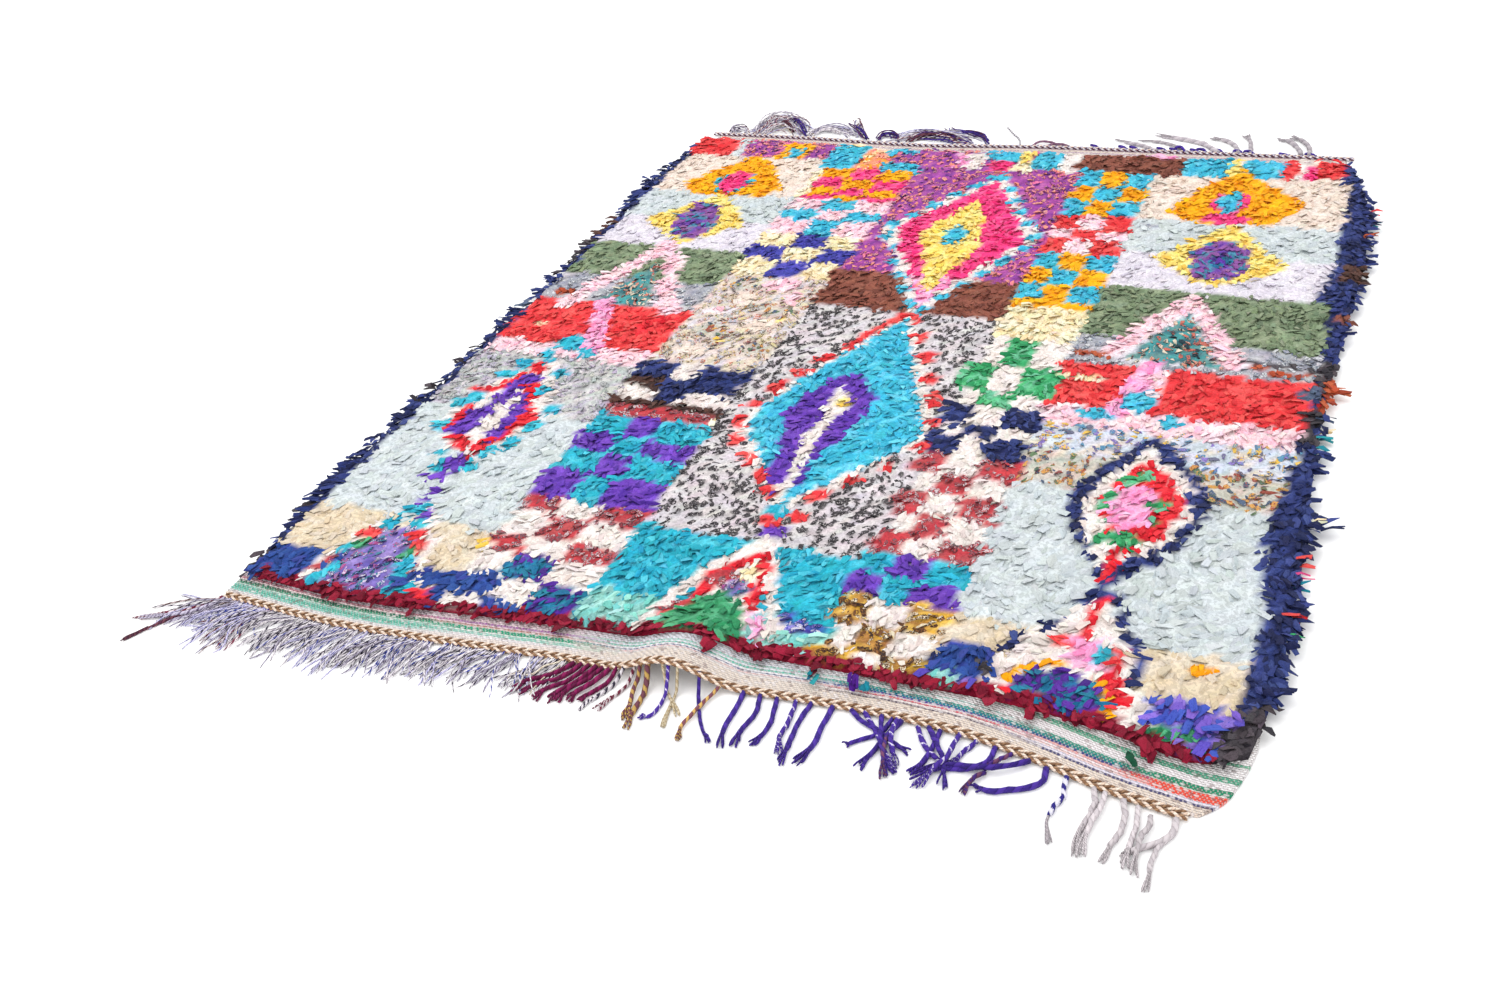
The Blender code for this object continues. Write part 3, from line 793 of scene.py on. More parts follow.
# The knots: a grid with each knot moved a little, cut to the pile's outline.
def knots(rng):
    stepX, stepY = pile["pitch"]
    x, y = np.meshgrid(np.arange(-0.80, 0.82, stepX), np.arange(-0.92, 0.90, stepY))
    x = x + (rng.uniform(-1, 1, x.shape) * pile["jitter"] * stepX)
    y = y + (rng.uniform(-1, 1, y.shape) * pile["jitter"] * stepY)
    x, y = x.ravel(), y.ravel()
    inset = pile["inset"]
    inside = (x > along("leftSide", y) + inset) & (x < along("rightSide", y) - inset)
    inside &= (y > along("pileNear", x) + pile["nearInset"]) & (y < along("pileFar", x) - inset)
    return x[inside], y[inside]


# A scrap of rag: its spine leaves the knot and bends over, so that its slope falls evenly from rise to droop
# while its heading turns, and each of its rings has three points: left edge, the fold's ridge, right edge.
def scraps(x, y, heading, wide, long, calm, rng):
    count, rings = len(x), pile["rings"]
    t = np.linspace(0.0, 1.0, rings)
    between = (t[1:] + t[:-1]) / 2
    rise = np.radians(rng.uniform(*pile["rise"], (count, 1)) * calm[:, None])
    droop = np.radians(rng.uniform(*pile["droop"], (count, 1)))
    turn = np.radians(rng.uniform(-1, 1, (count, 1)) * pile["turn"])
    slope = rise + (droop - rise) * between
    course = heading[:, None] + turn * (between - 0.5)
    step = (long / (rings - 1))[:, None]
    forward = step * np.cos(slope)
    steps = np.stack([forward * np.cos(course), forward * np.sin(course), step * np.sin(slope)], -1)
    spine = np.zeros((count, rings, 3))
    spine[:, 1:] = np.cumsum(steps, axis=1)
    spine += np.stack([x, y, rng.uniform(*pile["rootHigh"], count)], -1)[:, None]

    slopeHere = rise + (droop - rise) * t
    courseHere = heading[:, None] + turn * (t - 0.5)
    side = np.stack([-np.sin(courseHere), np.cos(courseHere), np.zeros_like(courseHere)], -1)
    back = -np.sin(slopeHere)
    up = np.stack([back * np.cos(courseHere), back * np.sin(courseHere), np.cos(slopeHere)], -1)
    roll = rng.normal(0, 1, (count, 1)) + rng.normal(0, 1, (count, 1)) * (t - 0.4)
    roll = np.radians(pile["roll"] * calm[:, None] * roll)
    roll += np.pi * (rng.uniform(0, 1, (count, 1)) < pile["flat"])
    cosRoll, sinRoll = np.cos(roll)[..., None], np.sin(roll)[..., None]
    side, up = cosRoll * side + sinRoll * up, cosRoll * up - sinRoll * side

    widths = np.ones((count, rings)) * np.array(pile["widths"])
    widths[:, 1:-1] *= rng.uniform(0.75, 1.15, (count, rings - 2))
    widths[:, -1] *= rng.uniform(0.15, 1.0, count)
    half = (widths * wide[:, None] / 2)[..., None]
    ridge = up * (half * rng.uniform(*pile["fold"], (count, 1, 1)) + pile["thick"])
    points = np.stack([spine + side * half, spine + ridge, spine - side * half], 2)
    points += rng.normal(0, pile["crumple"], points.shape)
    points[..., 2] = np.maximum(points[..., 2], pile["lowest"])
    points[..., 2] += lift(points[..., 0], points[..., 1])
    points[..., 2] = np.minimum(points[..., 2], cadBox[1][2] + pile["above"])
    return points


# The faces of one scrap: three sides between each two rings, and its two ends.
def scrapFaces():
    rings = pile["rings"]
    sides = gridFaces(rings, 3, wrap=True).reshape(-1, 4)
    ends = np.array([[2, 1, 0], [0, 1, 2]]) + np.array([[0], [3 * (rings - 1)]])
    return sides, ends


# Where the corners of those faces lie on the scrap laid flat: once round it, along it, and its two ends beside it.
def scrapCorners():
    rings = pile["rings"]
    i, j = np.meshgrid(np.arange(rings - 1), np.arange(3), indexing="ij")
    u = np.stack([j, j + 1, j + 1, j], -1) / 3 * 0.86
    v = np.stack([i, i, i + 1, i + 1], -1) / (rings - 1)
    sides = np.stack([u, v], -1).reshape(-1, 4, 2)
    end = np.array([[0.90, 0.10], [0.94, 0.16], [0.98, 0.10]])
    return sides, np.array([end, end + (0.0, 0.5)])


# The shades of each scrap: one cloth was torn into neighbouring knots, so it runs on a little along the row.
def scrapShades(kinds, x, y, rng):
    count = len(kinds)
    shade, speck, speckToo = np.zeros((3, count, 3))
    run = 0.5 + 0.5 * np.sin(drift(x, y * 2.5, 0.09, 21) * 4) + rng.uniform(-0.35, 0.35, count)
    picks = rng.integers(0, 60, (2, count))
    for number in np.unique(kinds):
        mine = kinds == number
        shades = linear(fabrics[fabricNames[number]]["shades"])
        specks = linear(fabrics[fabricNames[number]]["specks"])
        shade[mine] = shades[np.clip((run[mine] * len(shades)).astype(int), 0, len(shades) - 1)]
        speck[mine] = specks[picks[0, mine] % len(specks)]
        speckToo[mine] = specks[picks[1, mine] % len(specks)]
    calm = np.array([fabrics[name]["calm"] for name in fabricNames])[kinds][:, None]
    lighter = np.exp(rng.normal(0, 0.07, (count, 1)) * calm)
    tint = np.exp(rng.normal(0, 0.03, (count, 3)) * calm**2)
    return np.clip(shade * lighter * tint, 0, 0.92), speck, speckToo


def buildPile(material):
    rng = np.random.default_rng(pile["seed"])
    x, y = knots(rng)
    # locks at the sides turn out over them, less so towards the near corners
    middle, rimFrom, rimWide = pile["rim"]
    cornerFrom, cornerLong = pile["corner"]
    towardsRim = np.clip((np.abs(x - middle) - rimFrom) / rimWide, 0, 1) * np.sign(x)
    towardsRim = towardsRim * np.clip((y - cornerFrom) / cornerLong, 0, 1)
    spread = np.radians(rng.normal(0, pile["spread"], len(x)) + pile["combed"] * drift(x, y, pile["patch"], 31))
    heading = np.radians(-95) + spread + towardsRim * np.radians(rng.uniform(10, 75, len(x)))
    loose = [row[:6] for row in tufts for _ in range(row[6])]
    looseX, looseY, looseHeading, looseWide, looseLong = np.array([row[1:] for row in loose], float).T
    moved = pile["looseMoved"]
    looseX, looseY = (place / 1000 + rng.uniform(-moved, moved, len(loose)) for place in (looseX, looseY))
    looseHeading = np.radians(looseHeading + rng.uniform(-16, 16, len(loose)))
    x, y, heading = (np.concatenate(pair) for pair in ((x, looseX), (y, looseY), (heading, looseHeading)))
    towardsRim = np.concatenate([towardsRim, np.zeros(len(loose))])
    seenX, seenY = x + pile["seenAt"] * np.cos(heading), y + pile["seenAt"] * np.sin(heading)
    kinds = fabricAt(seenX - pile["lean"][0], seenY + pile["lean"][1])
    kinds[-len(loose) :] = [fabricNames.index(row[0]) for row in loose]
    keys = ("wide", "long", "keep", "amount", "calm")
    facts = {key: np.array([fabrics[name][key] for name in fabricNames])[kinds] for key in keys}
    kept = rng.uniform(0, 1, len(x)) < facts["keep"]
    wide = facts["wide"] * 0.001 * rng.uniform(0.75, 1.25, len(x))
    long = facts["long"] * 0.001 * rng.uniform(0.75, 1.2, len(x)) * (1 - 0.15 * np.abs(towardsRim))
    kept[-len(loose) :] = True
    wide[-len(loose) :] = looseWide * 0.001
    long[-len(loose) :] = looseLong * 0.001 * rng.uniform(0.8, 1.1, len(loose))
    points = scraps(x, y, heading, wide, long, facts["calm"], rng)
    shades = scrapShades(kinds, x, y, rng)
    offset = rng.uniform(0, 3, (len(x), 1, 1, 2))
    ends = list(pile["pieces"].values())
    home = np.searchsorted(ends, x)
    faces, corners = scrapFaces(), scrapCorners()
    each = 3 * pile["rings"]
    for number, name in enumerate(pile["pieces"]):
        mine = np.flatnonzero(kept & (home == number))
        start = each * np.arange(len(mine))[:, None, None]
        allFaces = [(group[None] + start).reshape(-1, group.shape[1]) for group in faces]
        piece = newPiece(name, points[mine].reshape(-1, 3), allFaces, material, "rug")
        piece.data.set_sharp_from_angle(angle=math.radians(50))
        for layer, colours in zip(("shade", "speck", "speckToo"), shades):
            addColours(piece, layer, np.repeat(colours[mine], each, axis=0))
        addNumbers(piece, "amount", np.repeat(facts["amount"][mine], each))
        size = np.stack([wide[mine] * 2.3, long[mine]], -1)[:, None, None]
        across = math.ceil(math.sqrt(len(mine)))
        cell = np.stack([np.arange(len(mine)) % across, np.arange(len(mine)) // across], -1)[:, None, None]
        addUv(piece, "OFBake", [(cell + 0.04 + 0.92 * group[None]) / across for group in corners])
        addUv(piece, "rag", [group[None] * size + offset[mine] for group in corners])
        print(f"rug: {name} has {len(mine)} scraps")


# The bed under the scraps: a low lumpy slab from side to side, in their shades.

bed = {"step": 0.0135, "high": 0.0135, "lumps": 0.0025, "inset": 0.006}


def buildBed(material):
    rng = np.random.default_rng(23)
    rows, columns = round(1.75 / bed["step"]), round(1.53 / bed["step"])
    share = np.linspace(0.0, 1.0, columns)
    v = np.linspace(0.0, 1.0, rows)[:, None]
    x = np.repeat((-0.755 + 1.54 * share)[None], rows, axis=0)
    for _ in range(2):
        y0, y1 = along("pileNear", x) + bed["inset"], along("pileFar", x) - bed["inset"]
        y = y0 + (y1 - y0) * v
        left, right = along("leftSide", y) + bed["inset"], along("rightSide", y) - bed["inset"]
        x = left + (right - left) * share
    floor = lift(x, y) + cloth["weaveThick"] - 0.001
    top = floor + bed["high"] + rng.uniform(-1, 1, x.shape) * bed["lumps"]
    rim = np.ones(x.shape, bool)
    rim[1:-1, 1:-1] = False
    top[rim] = floor[rim] + 0.003
    points = np.concatenate([np.stack([x, y, top], -1).reshape(-1, 3), np.stack([x, y, floor], -1).reshape(-1, 3)])
    piece = newPiece("pileBed", points, [closedGrid(rows, columns)], material, "rug")
    kinds = fabricAt(x.ravel() - pile["lean"][0], y.ravel() + pile["lean"][1])
    shades, _, _ = scrapShades(kinds, x.ravel(), y.ravel(), rng)
    addColours(piece, "shade", np.tile(shades, (2, 1)))


# A closed slab from two grids of points: the top one, the lower one turned over, and a wall round the rim.
def closedGrid(rows, columns):
    top = gridFaces(rows, columns).reshape(-1, 4)
    lower = top[:, ::-1] + rows * columns
    at = np.arange(rows * columns).reshape(rows, columns)
    rim = np.concatenate([at[0, :-1], at[:-1, -1], at[-1, :0:-1], at[:0:-1, 0]])
    after = np.roll(rim, -1)
    wall = np.stack([rim + rows * columns, after + rows * columns, after, rim], -1)
    return np.concatenate([top, lower, wall])


# The ground cloth: flat-woven, bare at both ends, with coloured wefts there.

ground = {
    "warpPitch": 0.0050,
    "weftPitch": 0.0036,
    "relief": 0.0005,
    "hidden": 0.012,  # how far it draws in under the pile at its sides
    "underTwine": 0.0045,  # and at its near end under the twined edge
    "nearRows": 28,
    "middleRows": 20,
    "farRows": 12,
    "skirtDepth": 0.105,  # the stripes' scale runs over this from the cloth's edge
    # the wefts' colours at the near end, from side to side: the x from which each set begins to show, the x where it
    # is full, and its stripes from the edge inwards, each with its start in millimetres and its colour
    "stripes": (
        (-1.00, -0.90, ((0, 228, 208, 196), (4, 236, 222, 214), (10, 222, 222, 222), (15, 128, 200, 184),
            (20, 88, 180, 156), (25, 124, 196, 178), (28, 186, 214, 202), (31, 72, 158, 124), (34, 36, 112,
            84), (39, 240, 216, 216), (42, 200, 130, 145), (46, 206, 190, 200))),
        (-0.42, -0.33, ((0, 228, 208, 196), (6, 238, 224, 216), (14, 232, 226, 228), (20, 150, 205, 190),
            (26, 215, 228, 220), (28, 48, 158, 122), (35, 226, 214, 206), (37, 190, 135, 125), (40, 222,
            190, 205), (43, 172, 115, 172), (46, 232, 205, 212))),
        (-0.18, -0.08, ((0, 228, 208, 194), (8, 230, 216, 204), (26, 226, 218, 214), (30, 228, 190, 190),
            (32, 232, 226, 226), (34, 110, 110, 150), (36, 236, 236, 240), (40, 110, 190, 170), (43, 226,
            232, 238), (47, 150, 205, 190), (50, 228, 230, 238))),
        (0.19, 0.26, ((0, 228, 208, 194), (8, 232, 216, 202), (22, 96, 84, 96), (24, 236, 224, 222), (28,
            214, 110, 120), (31, 236, 226, 230), (33, 92, 66, 150), (35, 26, 128, 150), (40, 70, 160, 150),
            (44, 240, 236, 236), (48, 180, 214, 206), (51, 240, 236, 236))),
        (0.44, 0.52, ((0, 228, 208, 194), (8, 232, 216, 202), (18, 78, 76, 116), (21, 226, 220, 236), (26,
            232, 196, 192), (29, 242, 222, 226), (32, 226, 160, 160), (36, 60, 70, 130), (39, 30, 130, 130),
            (44, 64, 152, 132), (48, 240, 234, 236), (63, 128, 190, 162), (67, 88, 165, 135), (73, 240, 236,
            236), (90, 240, 236, 236))),
        (0.62, 0.66, ((0, 228, 208, 194), (8, 232, 216, 202), (18, 78, 76, 116), (21, 226, 220, 236), (26,
            236, 84, 66), (39, 238, 214, 208), (41, 40, 140, 104), (51, 240, 234, 236), (63, 88, 165, 135),
            (73, 240, 236, 236), (92, 110, 180, 148), (98, 240, 236, 236))),
    ),
    "farStripes": ((0, 170, 135, 150), (5, 232, 214, 200), (14, 200, 170, 190), (20, 226, 214, 206)),
}


def groundFinish():
    weave = Finish("groundWeave", clothShader)
    x, d = weave.parts(weave.uv("weave"))
    wobble = weave.noise(weave.node("ShaderNodeTexCoord", output=3), 45.0, 2.0) - 0.5
    depth = d + wobble * 0.004
    scale = 1 / ground["skirtDepth"]
    colour = (1.0, 1.0, 1.0, 1.0)
    for begins, full, stripes in ground["stripes"]:
        stops = [(at * 0.001 * scale, shade) for at, *shade in stripes]
        ramp = weave.node("ShaderNodeValToRGB", {"stops": stops}, {0: depth * scale})
        colour = weave.mix(weave.sharpen(x + wobble * 0.12, begins, full), colour, ramp)
    farStops = [(at * 0.001 * scale, shade) for at, *shade in ground["farStripes"]]
    far = weave.node("ShaderNodeValToRGB", {"stops": farStops}, {0: (d * -1.0) * scale})
    colour = weave.mix(d < 0.0, colour, far)
    # each weft passes over one warp and under the next, a step aside in every other row
    row = d * (1 / ground["weftPitch"])
    stitch = x * (1 / ground["warpPitch"]) + 0.5 * ((row - row % 1) % 2)
    cell = weave.node("ShaderNodeCombineXYZ", values={0: stitch - stitch % 1, 1: row - row % 1})
    chance = weave.node("ShaderNodeTexWhiteNoise", {"noise_dimensions": "2D"}, {"Vector": cell})
    acrossRow = row % 1 - 0.5
    acrossStitch = stitch % 1 - 0.5
    hump = 1 - 2.6 * acrossRow * acrossRow - 2.2 * acrossStitch * acrossStitch
    # the pale warps show between the stitches, and painted shade darkens the small gaps at their corners
    warp = weave.sharpen(acrossStitch * acrossStitch, 0.075, 0.14)
    colour = weave.mix(warp * 0.45, colour, (0.86, 0.79, 0.77, 1.0))
    pale = weave.mix((chance > 0.91) * 0.6, colour, (0.86, 0.80, 0.80, 1.0))
    dark = weave.mix((chance < 0.06) * 0.5, pale, (0.22, 0.13, 0.13, 1.0))
    fibres = weave.noise(weave.stretch(weave.uv("weave"), (500.0, 1500.0, 1.0)), 1.0, 2.0)
    height = hump + 0.25 * fibres
    # painted shade in the gaps between the stitches, where the hump is low
    deep = weave.mix(1.0, dark, (0.26, 0.20, 0.21, 1.0), "MULTIPLY")
    shaded = weave.mix(weave.sharpen(hump, 0.30, 0.0) * 0.8, dark, deep)
    return weave.finish(shaded, weave.bump(height, 0.0026), 0.92)


# The cloth as rows of points, near to far: rows one weft apart over each skirt and wide ones under the pile.
# Its top rises by the relief where a weft passes over a warp and falls by it where the weft passes under.
def buildGround(material):
    columns = round(1.50 / ground["warpPitch"]) + 1
    share = np.linspace(0.0, 1.0, columns)
    near = np.arange(ground["nearRows"]) * ground["weftPitch"]
    far = np.arange(ground["farRows"])[::-1] * ground["weftPitch"]
    middle = np.linspace(0, 1, ground["middleRows"] + 2)[1:-1] ** 1.4
    x = np.repeat((-0.75 + 1.52 * share)[None], len(near) + len(middle) + len(far), axis=0)
    for _ in range(3):
        start, end = along("nearEdge", x[0]) + ground["underTwine"], along("farEdge", x[-1])
        first, last = start + near[-1], end - far[0]
        y = np.concatenate([
            start + near[:, None],
            first + (last - first) * middle[:, None],
            end - far[:, None],
        ])
        hidden = ground["hidden"] * np.clip((y - along("pileNear", x) - 0.03) / 0.05, 0, 1)
        left, right = along("leftSide", y) + hidden, along("rightSide", y) - hidden
        x = left + (right - left) * share
    floor = lift(x, y)
    i, j = np.meshgrid(np.arange(len(y)), np.arange(columns), indexing="ij")
    relief = ground["relief"] * (1 - 2 * ((i + j) % 2))
    relief[len(near) : -len(far)] = 0
    top = floor + cloth["weaveThick"] + relief
    points = np.concatenate([np.stack([x, y, top], -1).reshape(-1, 3), np.stack([x, y, floor], -1).reshape(-1, 3)])
    faces = closedGrid(len(y), columns)
    piece = newPiece("groundCloth", points, [faces], material, "rug")
    # the pattern's own map: x, and the distance from the near edge, or less than 0 from the far edge
    fromNear, fromFar = y - along("nearEdge", x), along("farEdge", x) - y
    depth = np.where(fromNear < fromFar, fromNear, -fromFar - 0.0005)
    flat = np.tile(np.stack([x, depth], -1).reshape(-1, 2), (2, 1))
    addUv(piece, "weave", [flat[faces]])


# Yarn: the twined edges and the fringes.

# Each yarn: its first ply's colour, its second's, and how much of a turn the second shows.
yarns = {
    "white": ((236, 230, 234), (160, 150, 168), 0.24),
    "lilac": ((204, 199, 228), (92, 98, 178), 0.17),
    "lilacGrey": ((188, 181, 200), (116, 104, 130), 0.28),
    "royalWhite": ((222, 217, 232), (62, 74, 158), 0.42),
    "charcoalWhite": ((222, 216, 222), (56, 49, 68), 0.42),
    "brownWhite": ((212, 194, 194), (92, 62, 62), 0.45),
    "maroon": ((112, 66, 78), (82, 46, 66), 0.50),
    "grey": ((188, 180, 185), (164, 156, 163), 0.40),
    "burgundy": ((128, 30, 82), (98, 24, 64), 0.50),
    "burgundyWhite": ((226, 212, 216), (118, 44, 66), 0.50),
    "violet": ((74, 50, 146), (56, 38, 120), 0.45),
    "violetFlecked": ((74, 50, 146), (214, 206, 232), 0.15),
    "violetBrown": ((108, 66, 96), (72, 46, 118), 0.50),
    "brownGold": ((118, 72, 84), (196, 160, 92), 0.42),
    "beige": ((214, 200, 172), (190, 170, 134), 0.40),
    "cream": ((240, 230, 212), (220, 204, 182), 0.35),
    "greyWhite": ((200, 192, 195), (184, 176, 180), 0.40),
    "navyWhite": ((230, 228, 242), (50, 44, 130), 0.45),
    "brown": ((164, 128, 98), (132, 98, 74), 0.45),
    "peach": ((246, 228, 212), (232, 206, 186), 0.40),
    "mauve": ((150, 112, 132), (120, 82, 112), 0.45),
}
yarnNames = list(yarns)

# Where the yarn of the near fringe leaves the edge: from x to x, how many, how long, how much that varies, its
# lean at both ends (x over each metre outwards), how much it curls, how high it is heaped, its yarns.
nearCombs = (
    {"x": (-0.742, -0.640), "count": 46, "long": (0.105, 0.30), "lean": (-0.95, -0.70), "curl": 0.015, "heap": 0.008,
     "yarns": ("lilac", "brownWhite", "lilacGrey", "charcoalWhite", "lilac", "burgundyWhite")},
    {"x": (-0.700, -0.420), "count": 120, "long": (0.088, 0.25), "lean": (-0.90, -0.45), "curl": 0.017, "heap": 0.008,
     "yarns": ("lilac", "white", "charcoalWhite", "lilacGrey", "royalWhite", "white", "royalWhite")},
    {"x": (-0.430, -0.165), "count": 116, "long": (0.086, 0.25), "lean": (-0.60, -0.15), "curl": 0.017, "heap": 0.008,
     "yarns": ("white", "lilacGrey", "royalWhite", "charcoalWhite", "white", "lilac", "royalWhite")},
    {"x": (-0.175, -0.135), "count": 16, "long": (0.080, 0.20), "lean": (-0.60, -0.50), "curl": 0.015, "heap": 0.004,
     "yarns": ("white", "cream", "charcoalWhite")},
)

# The thick tassels one by one: yarn, radius in millimetres, the share of the length at the tip that is flared, and
# the route on the floor as x, y by turns in millimetres.
nearTassels = (
    ("burgundy", 3.0, 0.25, -128, -938, -150, -962, -176, -982, -190, -1004),
    ("burgundy", 3.0, 0.25, -117, -937, -135, -965, -160, -985, -172, -1010),
    ("burgundy", 2.8, 0.25, -106, -936, -122, -968, -143, -990, -150, -1014),
    ("burgundy", 3.0, 0.22, -95, -936, -108, -966, -124, -990, -130, -1012),
    ("burgundy", 2.8, 0.22, -84, -936, -96, -964, -112, -986, -116, -1006),
    ("burgundy", 3.0, 0.22, -73, -935, -83, -964, -97, -984, -103, -1002),
    ("burgundy", 2.6, 0.22, -62, -935, -68, -962, -80, -982, -88, -998),
    ("charcoalWhite", 2.4, 0.30, -50, -935, -58, -966, -70, -990, -76, -1012),
    ("burgundyWhite", 2.2, 0.35, -34, -930, -36, -950, -46, -980, -56, -1006),
    ("brownGold", 3.4, 0.30, -12, -932, -7, -950, -5, -981, -4, -1004, -2, -1027),
    ("brownGold", 2.6, 0.30, -24, -932, -22, -958, -14, -985, -10, -1012),
    ("violetFlecked", 2.2, 0.10, 20, -932, 24, -952, 24, -978, 20, -996, 6, -1000),
    ("beige", 1.8, 0.45, 10, -932, 24, -948, 43, -968, 56, -984),
    ("beige", 1.8, 0.55, 34, -934, 38, -962, 42, -986, 47, -1011),
    ("violet", 2.2, 0.15, 62, -928, 69, -944, 85, -978, 113, -1017),
    ("brownGold", 2.4, 0.20, 92, -926, 83, -945, 76, -976, 70, -1000, 77, -1029),
    ("violet", 3.1, 0.30, 124, -927, 125, -965, 125, -986, 134, -1023),
    ("violet", 3.0, 0.28, 147, -926, 154, -953, 148, -983, 150, -1014),
    ("violet", 3.0, 0.25, 171, -925, 179, -962, 177, -987, 169, -1009),
    ("violetFlecked", 2.8, 0.35, 197, -923, 201, -955, 200, -984, 208, -1011),
    ("violet", 3.1, 0.30, 218, -921, 214, -947, 216, -987, 219, -1027),
    ("violet", 3.3, 0.30, 247, -920, 246, -950, 247, -982, 233, -1021),
    ("violet", 2.9, 0.15, 272, -919, 293, -928, 318, -937, 343, -953, 366, -962),
    ("violetFlecked", 2.8, 0.25, 290, -918, 311, -935, 338, -971, 360, -998),
    ("violet", 3.0, 0.30, 313, -918, 324, -947, 345, -987, 357, -1002),
    ("violet", 2.6, 0.10, 328, -918, 319, -941, 299, -959, 282, -975),
    ("violet", 3.1, 0.28, 340, -919, 329, -946, 321, -979, 313, -1005),
    ("violetFlecked", 3.0, 0.35, 334, -919, 339, -951, 351, -978, 356, -997),
    ("violetBrown", 2.4, 0.40, 331, -945, 338, -980, 349, -1012),
    ("violetFlecked", 3.0, 0.20, 363, -924, 379, -943, 402, -963, 416, -968),
    ("violet", 3.0, 0.30, 376, -921, 396, -942, 410, -964, 422, -1009),
    ("violet", 3.0, 0.25, 392, -922, 390, -951, 385, -979, 377, -997),
    ("violetFlecked", 3.0, 0.40, 417, -923, 416, -940, 415, -959, 401, -986, 390, -1020),
    ("violetFlecked", 2.8, 0.20, 440, -927, 429, -943, 423, -964),
    ("violet", 3.1, 0.35, 465, -931, 463, -945, 449, -964, 417, -975, 386, -990),
    ("violetBrown", 2.6, 0.20, 487, -936, 472, -949, 457, -963),
    ("violet", 3.2, 0.40, 510, -941, 494, -950, 473, -962, 447, -968, 408, -972, 378, -1000),
    ("violet", 3.4, 0.15, 532, -947, 533, -960, 521, -975, 500, -985, 479, -995, 452, -990),
    ("violetBrown", 2.6, 0.50, 464, -968, 452, -986, 445, -1008),
    ("navyWhite", 3.0, 0.00, 558, -954, 559, -968, 561, -979, 554, -995, 552, -1012),
    ("grey", 3.0, 0.90, 552, -1008, 552, -1020, 558, -1036, 563, -1052),
    ("greyWhite", 3.1, 0.45, 592, -962, 598, -978, 596, -997, 591, -1021, 594, -1065),
    ("greyWhite", 3.1, 0.40, 606, -966, 606, -985, 601, -1009, 598, -1033, 602, -1064),
    ("greyWhite", 3.4, 0.35, 628, -971, 635, -988, 634, -1012, 626, -1037, 617, -1062),
    ("greyWhite", 2.8, 0.30, 646, -976, 649, -990, 649, -1010, 648, -1033, 647, -1063),
    ("greyWhite", 3.1, 0.35, 662, -980, 664, -992, 659, -1009, 657, -1030, 660, -1069),
    ("greyWhite", 3.6, 0.20, 690, -982, 691, -995, 678, -1014, 660, -1029, 639, -1044),
    ("greyWhite", 2.8, 0.40, 689, -1000, 678, -1023, 675, -1048, 676, -1065, 674, -1088),
    ("burgundyWhite", 2.4, 0.35, -742, -956, -775, -985, -815, -1008, -855, -1028),
    ("lilacGrey", 2.4, 0.35, -736, -957, -765, -992, -805, -1012, -845, -1024),
    ("maroon", 2.0, 0.30, -745, -962, -790, -1010, -814, -1045, -835, -1078),
)

# The far fringe: heaps of fine yarn, and single strands as above. A heap has its number of yarns, how far they
# spread and how high they lie, the kinds of yarn, and its route as x, y by turns, in millimetres.
farHeaps = (
    (20, 18, 24, ("white", "burgundyWhite", "lilac", "white", "lilacGrey", "white", "charcoalWhite"), -650,
        890, -628, 935, -605, 980, -575, 985, -535, 950, -485, 900),
    (17, 18, 18, ("burgundyWhite", "white", "lilac", "white", "cream"), -630, 890, -600, 925, -560, 945,
        -520, 925, -500, 895),
    (8, 4, 26, ("violetBrown", "violet"), -580, 985, -545, 960, -510, 920, -485, 895),
    (6, 4, 24, ("maroon",), -608, 968, -580, 955, -545, 930, -530, 900),
    (18, 10, 12, ("white", "lilac", "lilacGrey", "white"), -500, 905, -480, 940, -440, 948, -390, 925, -365,
        900),
    (9, 8, 14, ("charcoalWhite", "lilacGrey", "burgundyWhite"), -690, 893, -700, 915, -685, 930, -662, 900),
    (13, 6, 12, ("violetBrown", "violet", "burgundyWhite", "maroon"), -335, 893, -372, 935, -395, 975, -415,
        1028),
    (6, 3, 12, ("violetBrown", "charcoalWhite"), -340, 893, -385, 945, -425, 995),
    (10, 6, 14, ("violetBrown", "charcoalWhite", "violet"), -318, 895, -312, 925, -290, 928, -262, 895),
    (6, 4, 10, ("charcoalWhite", "violetBrown"), -120, 905, -150, 945, -195, 953, -235, 967, -264, 985),
    (24, 13, 14, ("maroon", "violetBrown", "violet", "burgundyWhite", "charcoalWhite"), -250, 895, -225,
        925, -180, 932, -130, 920, -95, 898),
    (12, 6, 10, ("violet", "violet", "violetBrown"), -45, 905, -75, 945, -115, 962, -160, 974, -178, 1000),
    (16, 13, 10, ("white", "lilac", "lilacGrey", "burgundyWhite"), -300, 895, -240, 935, -150, 945, -60,
        900),
)
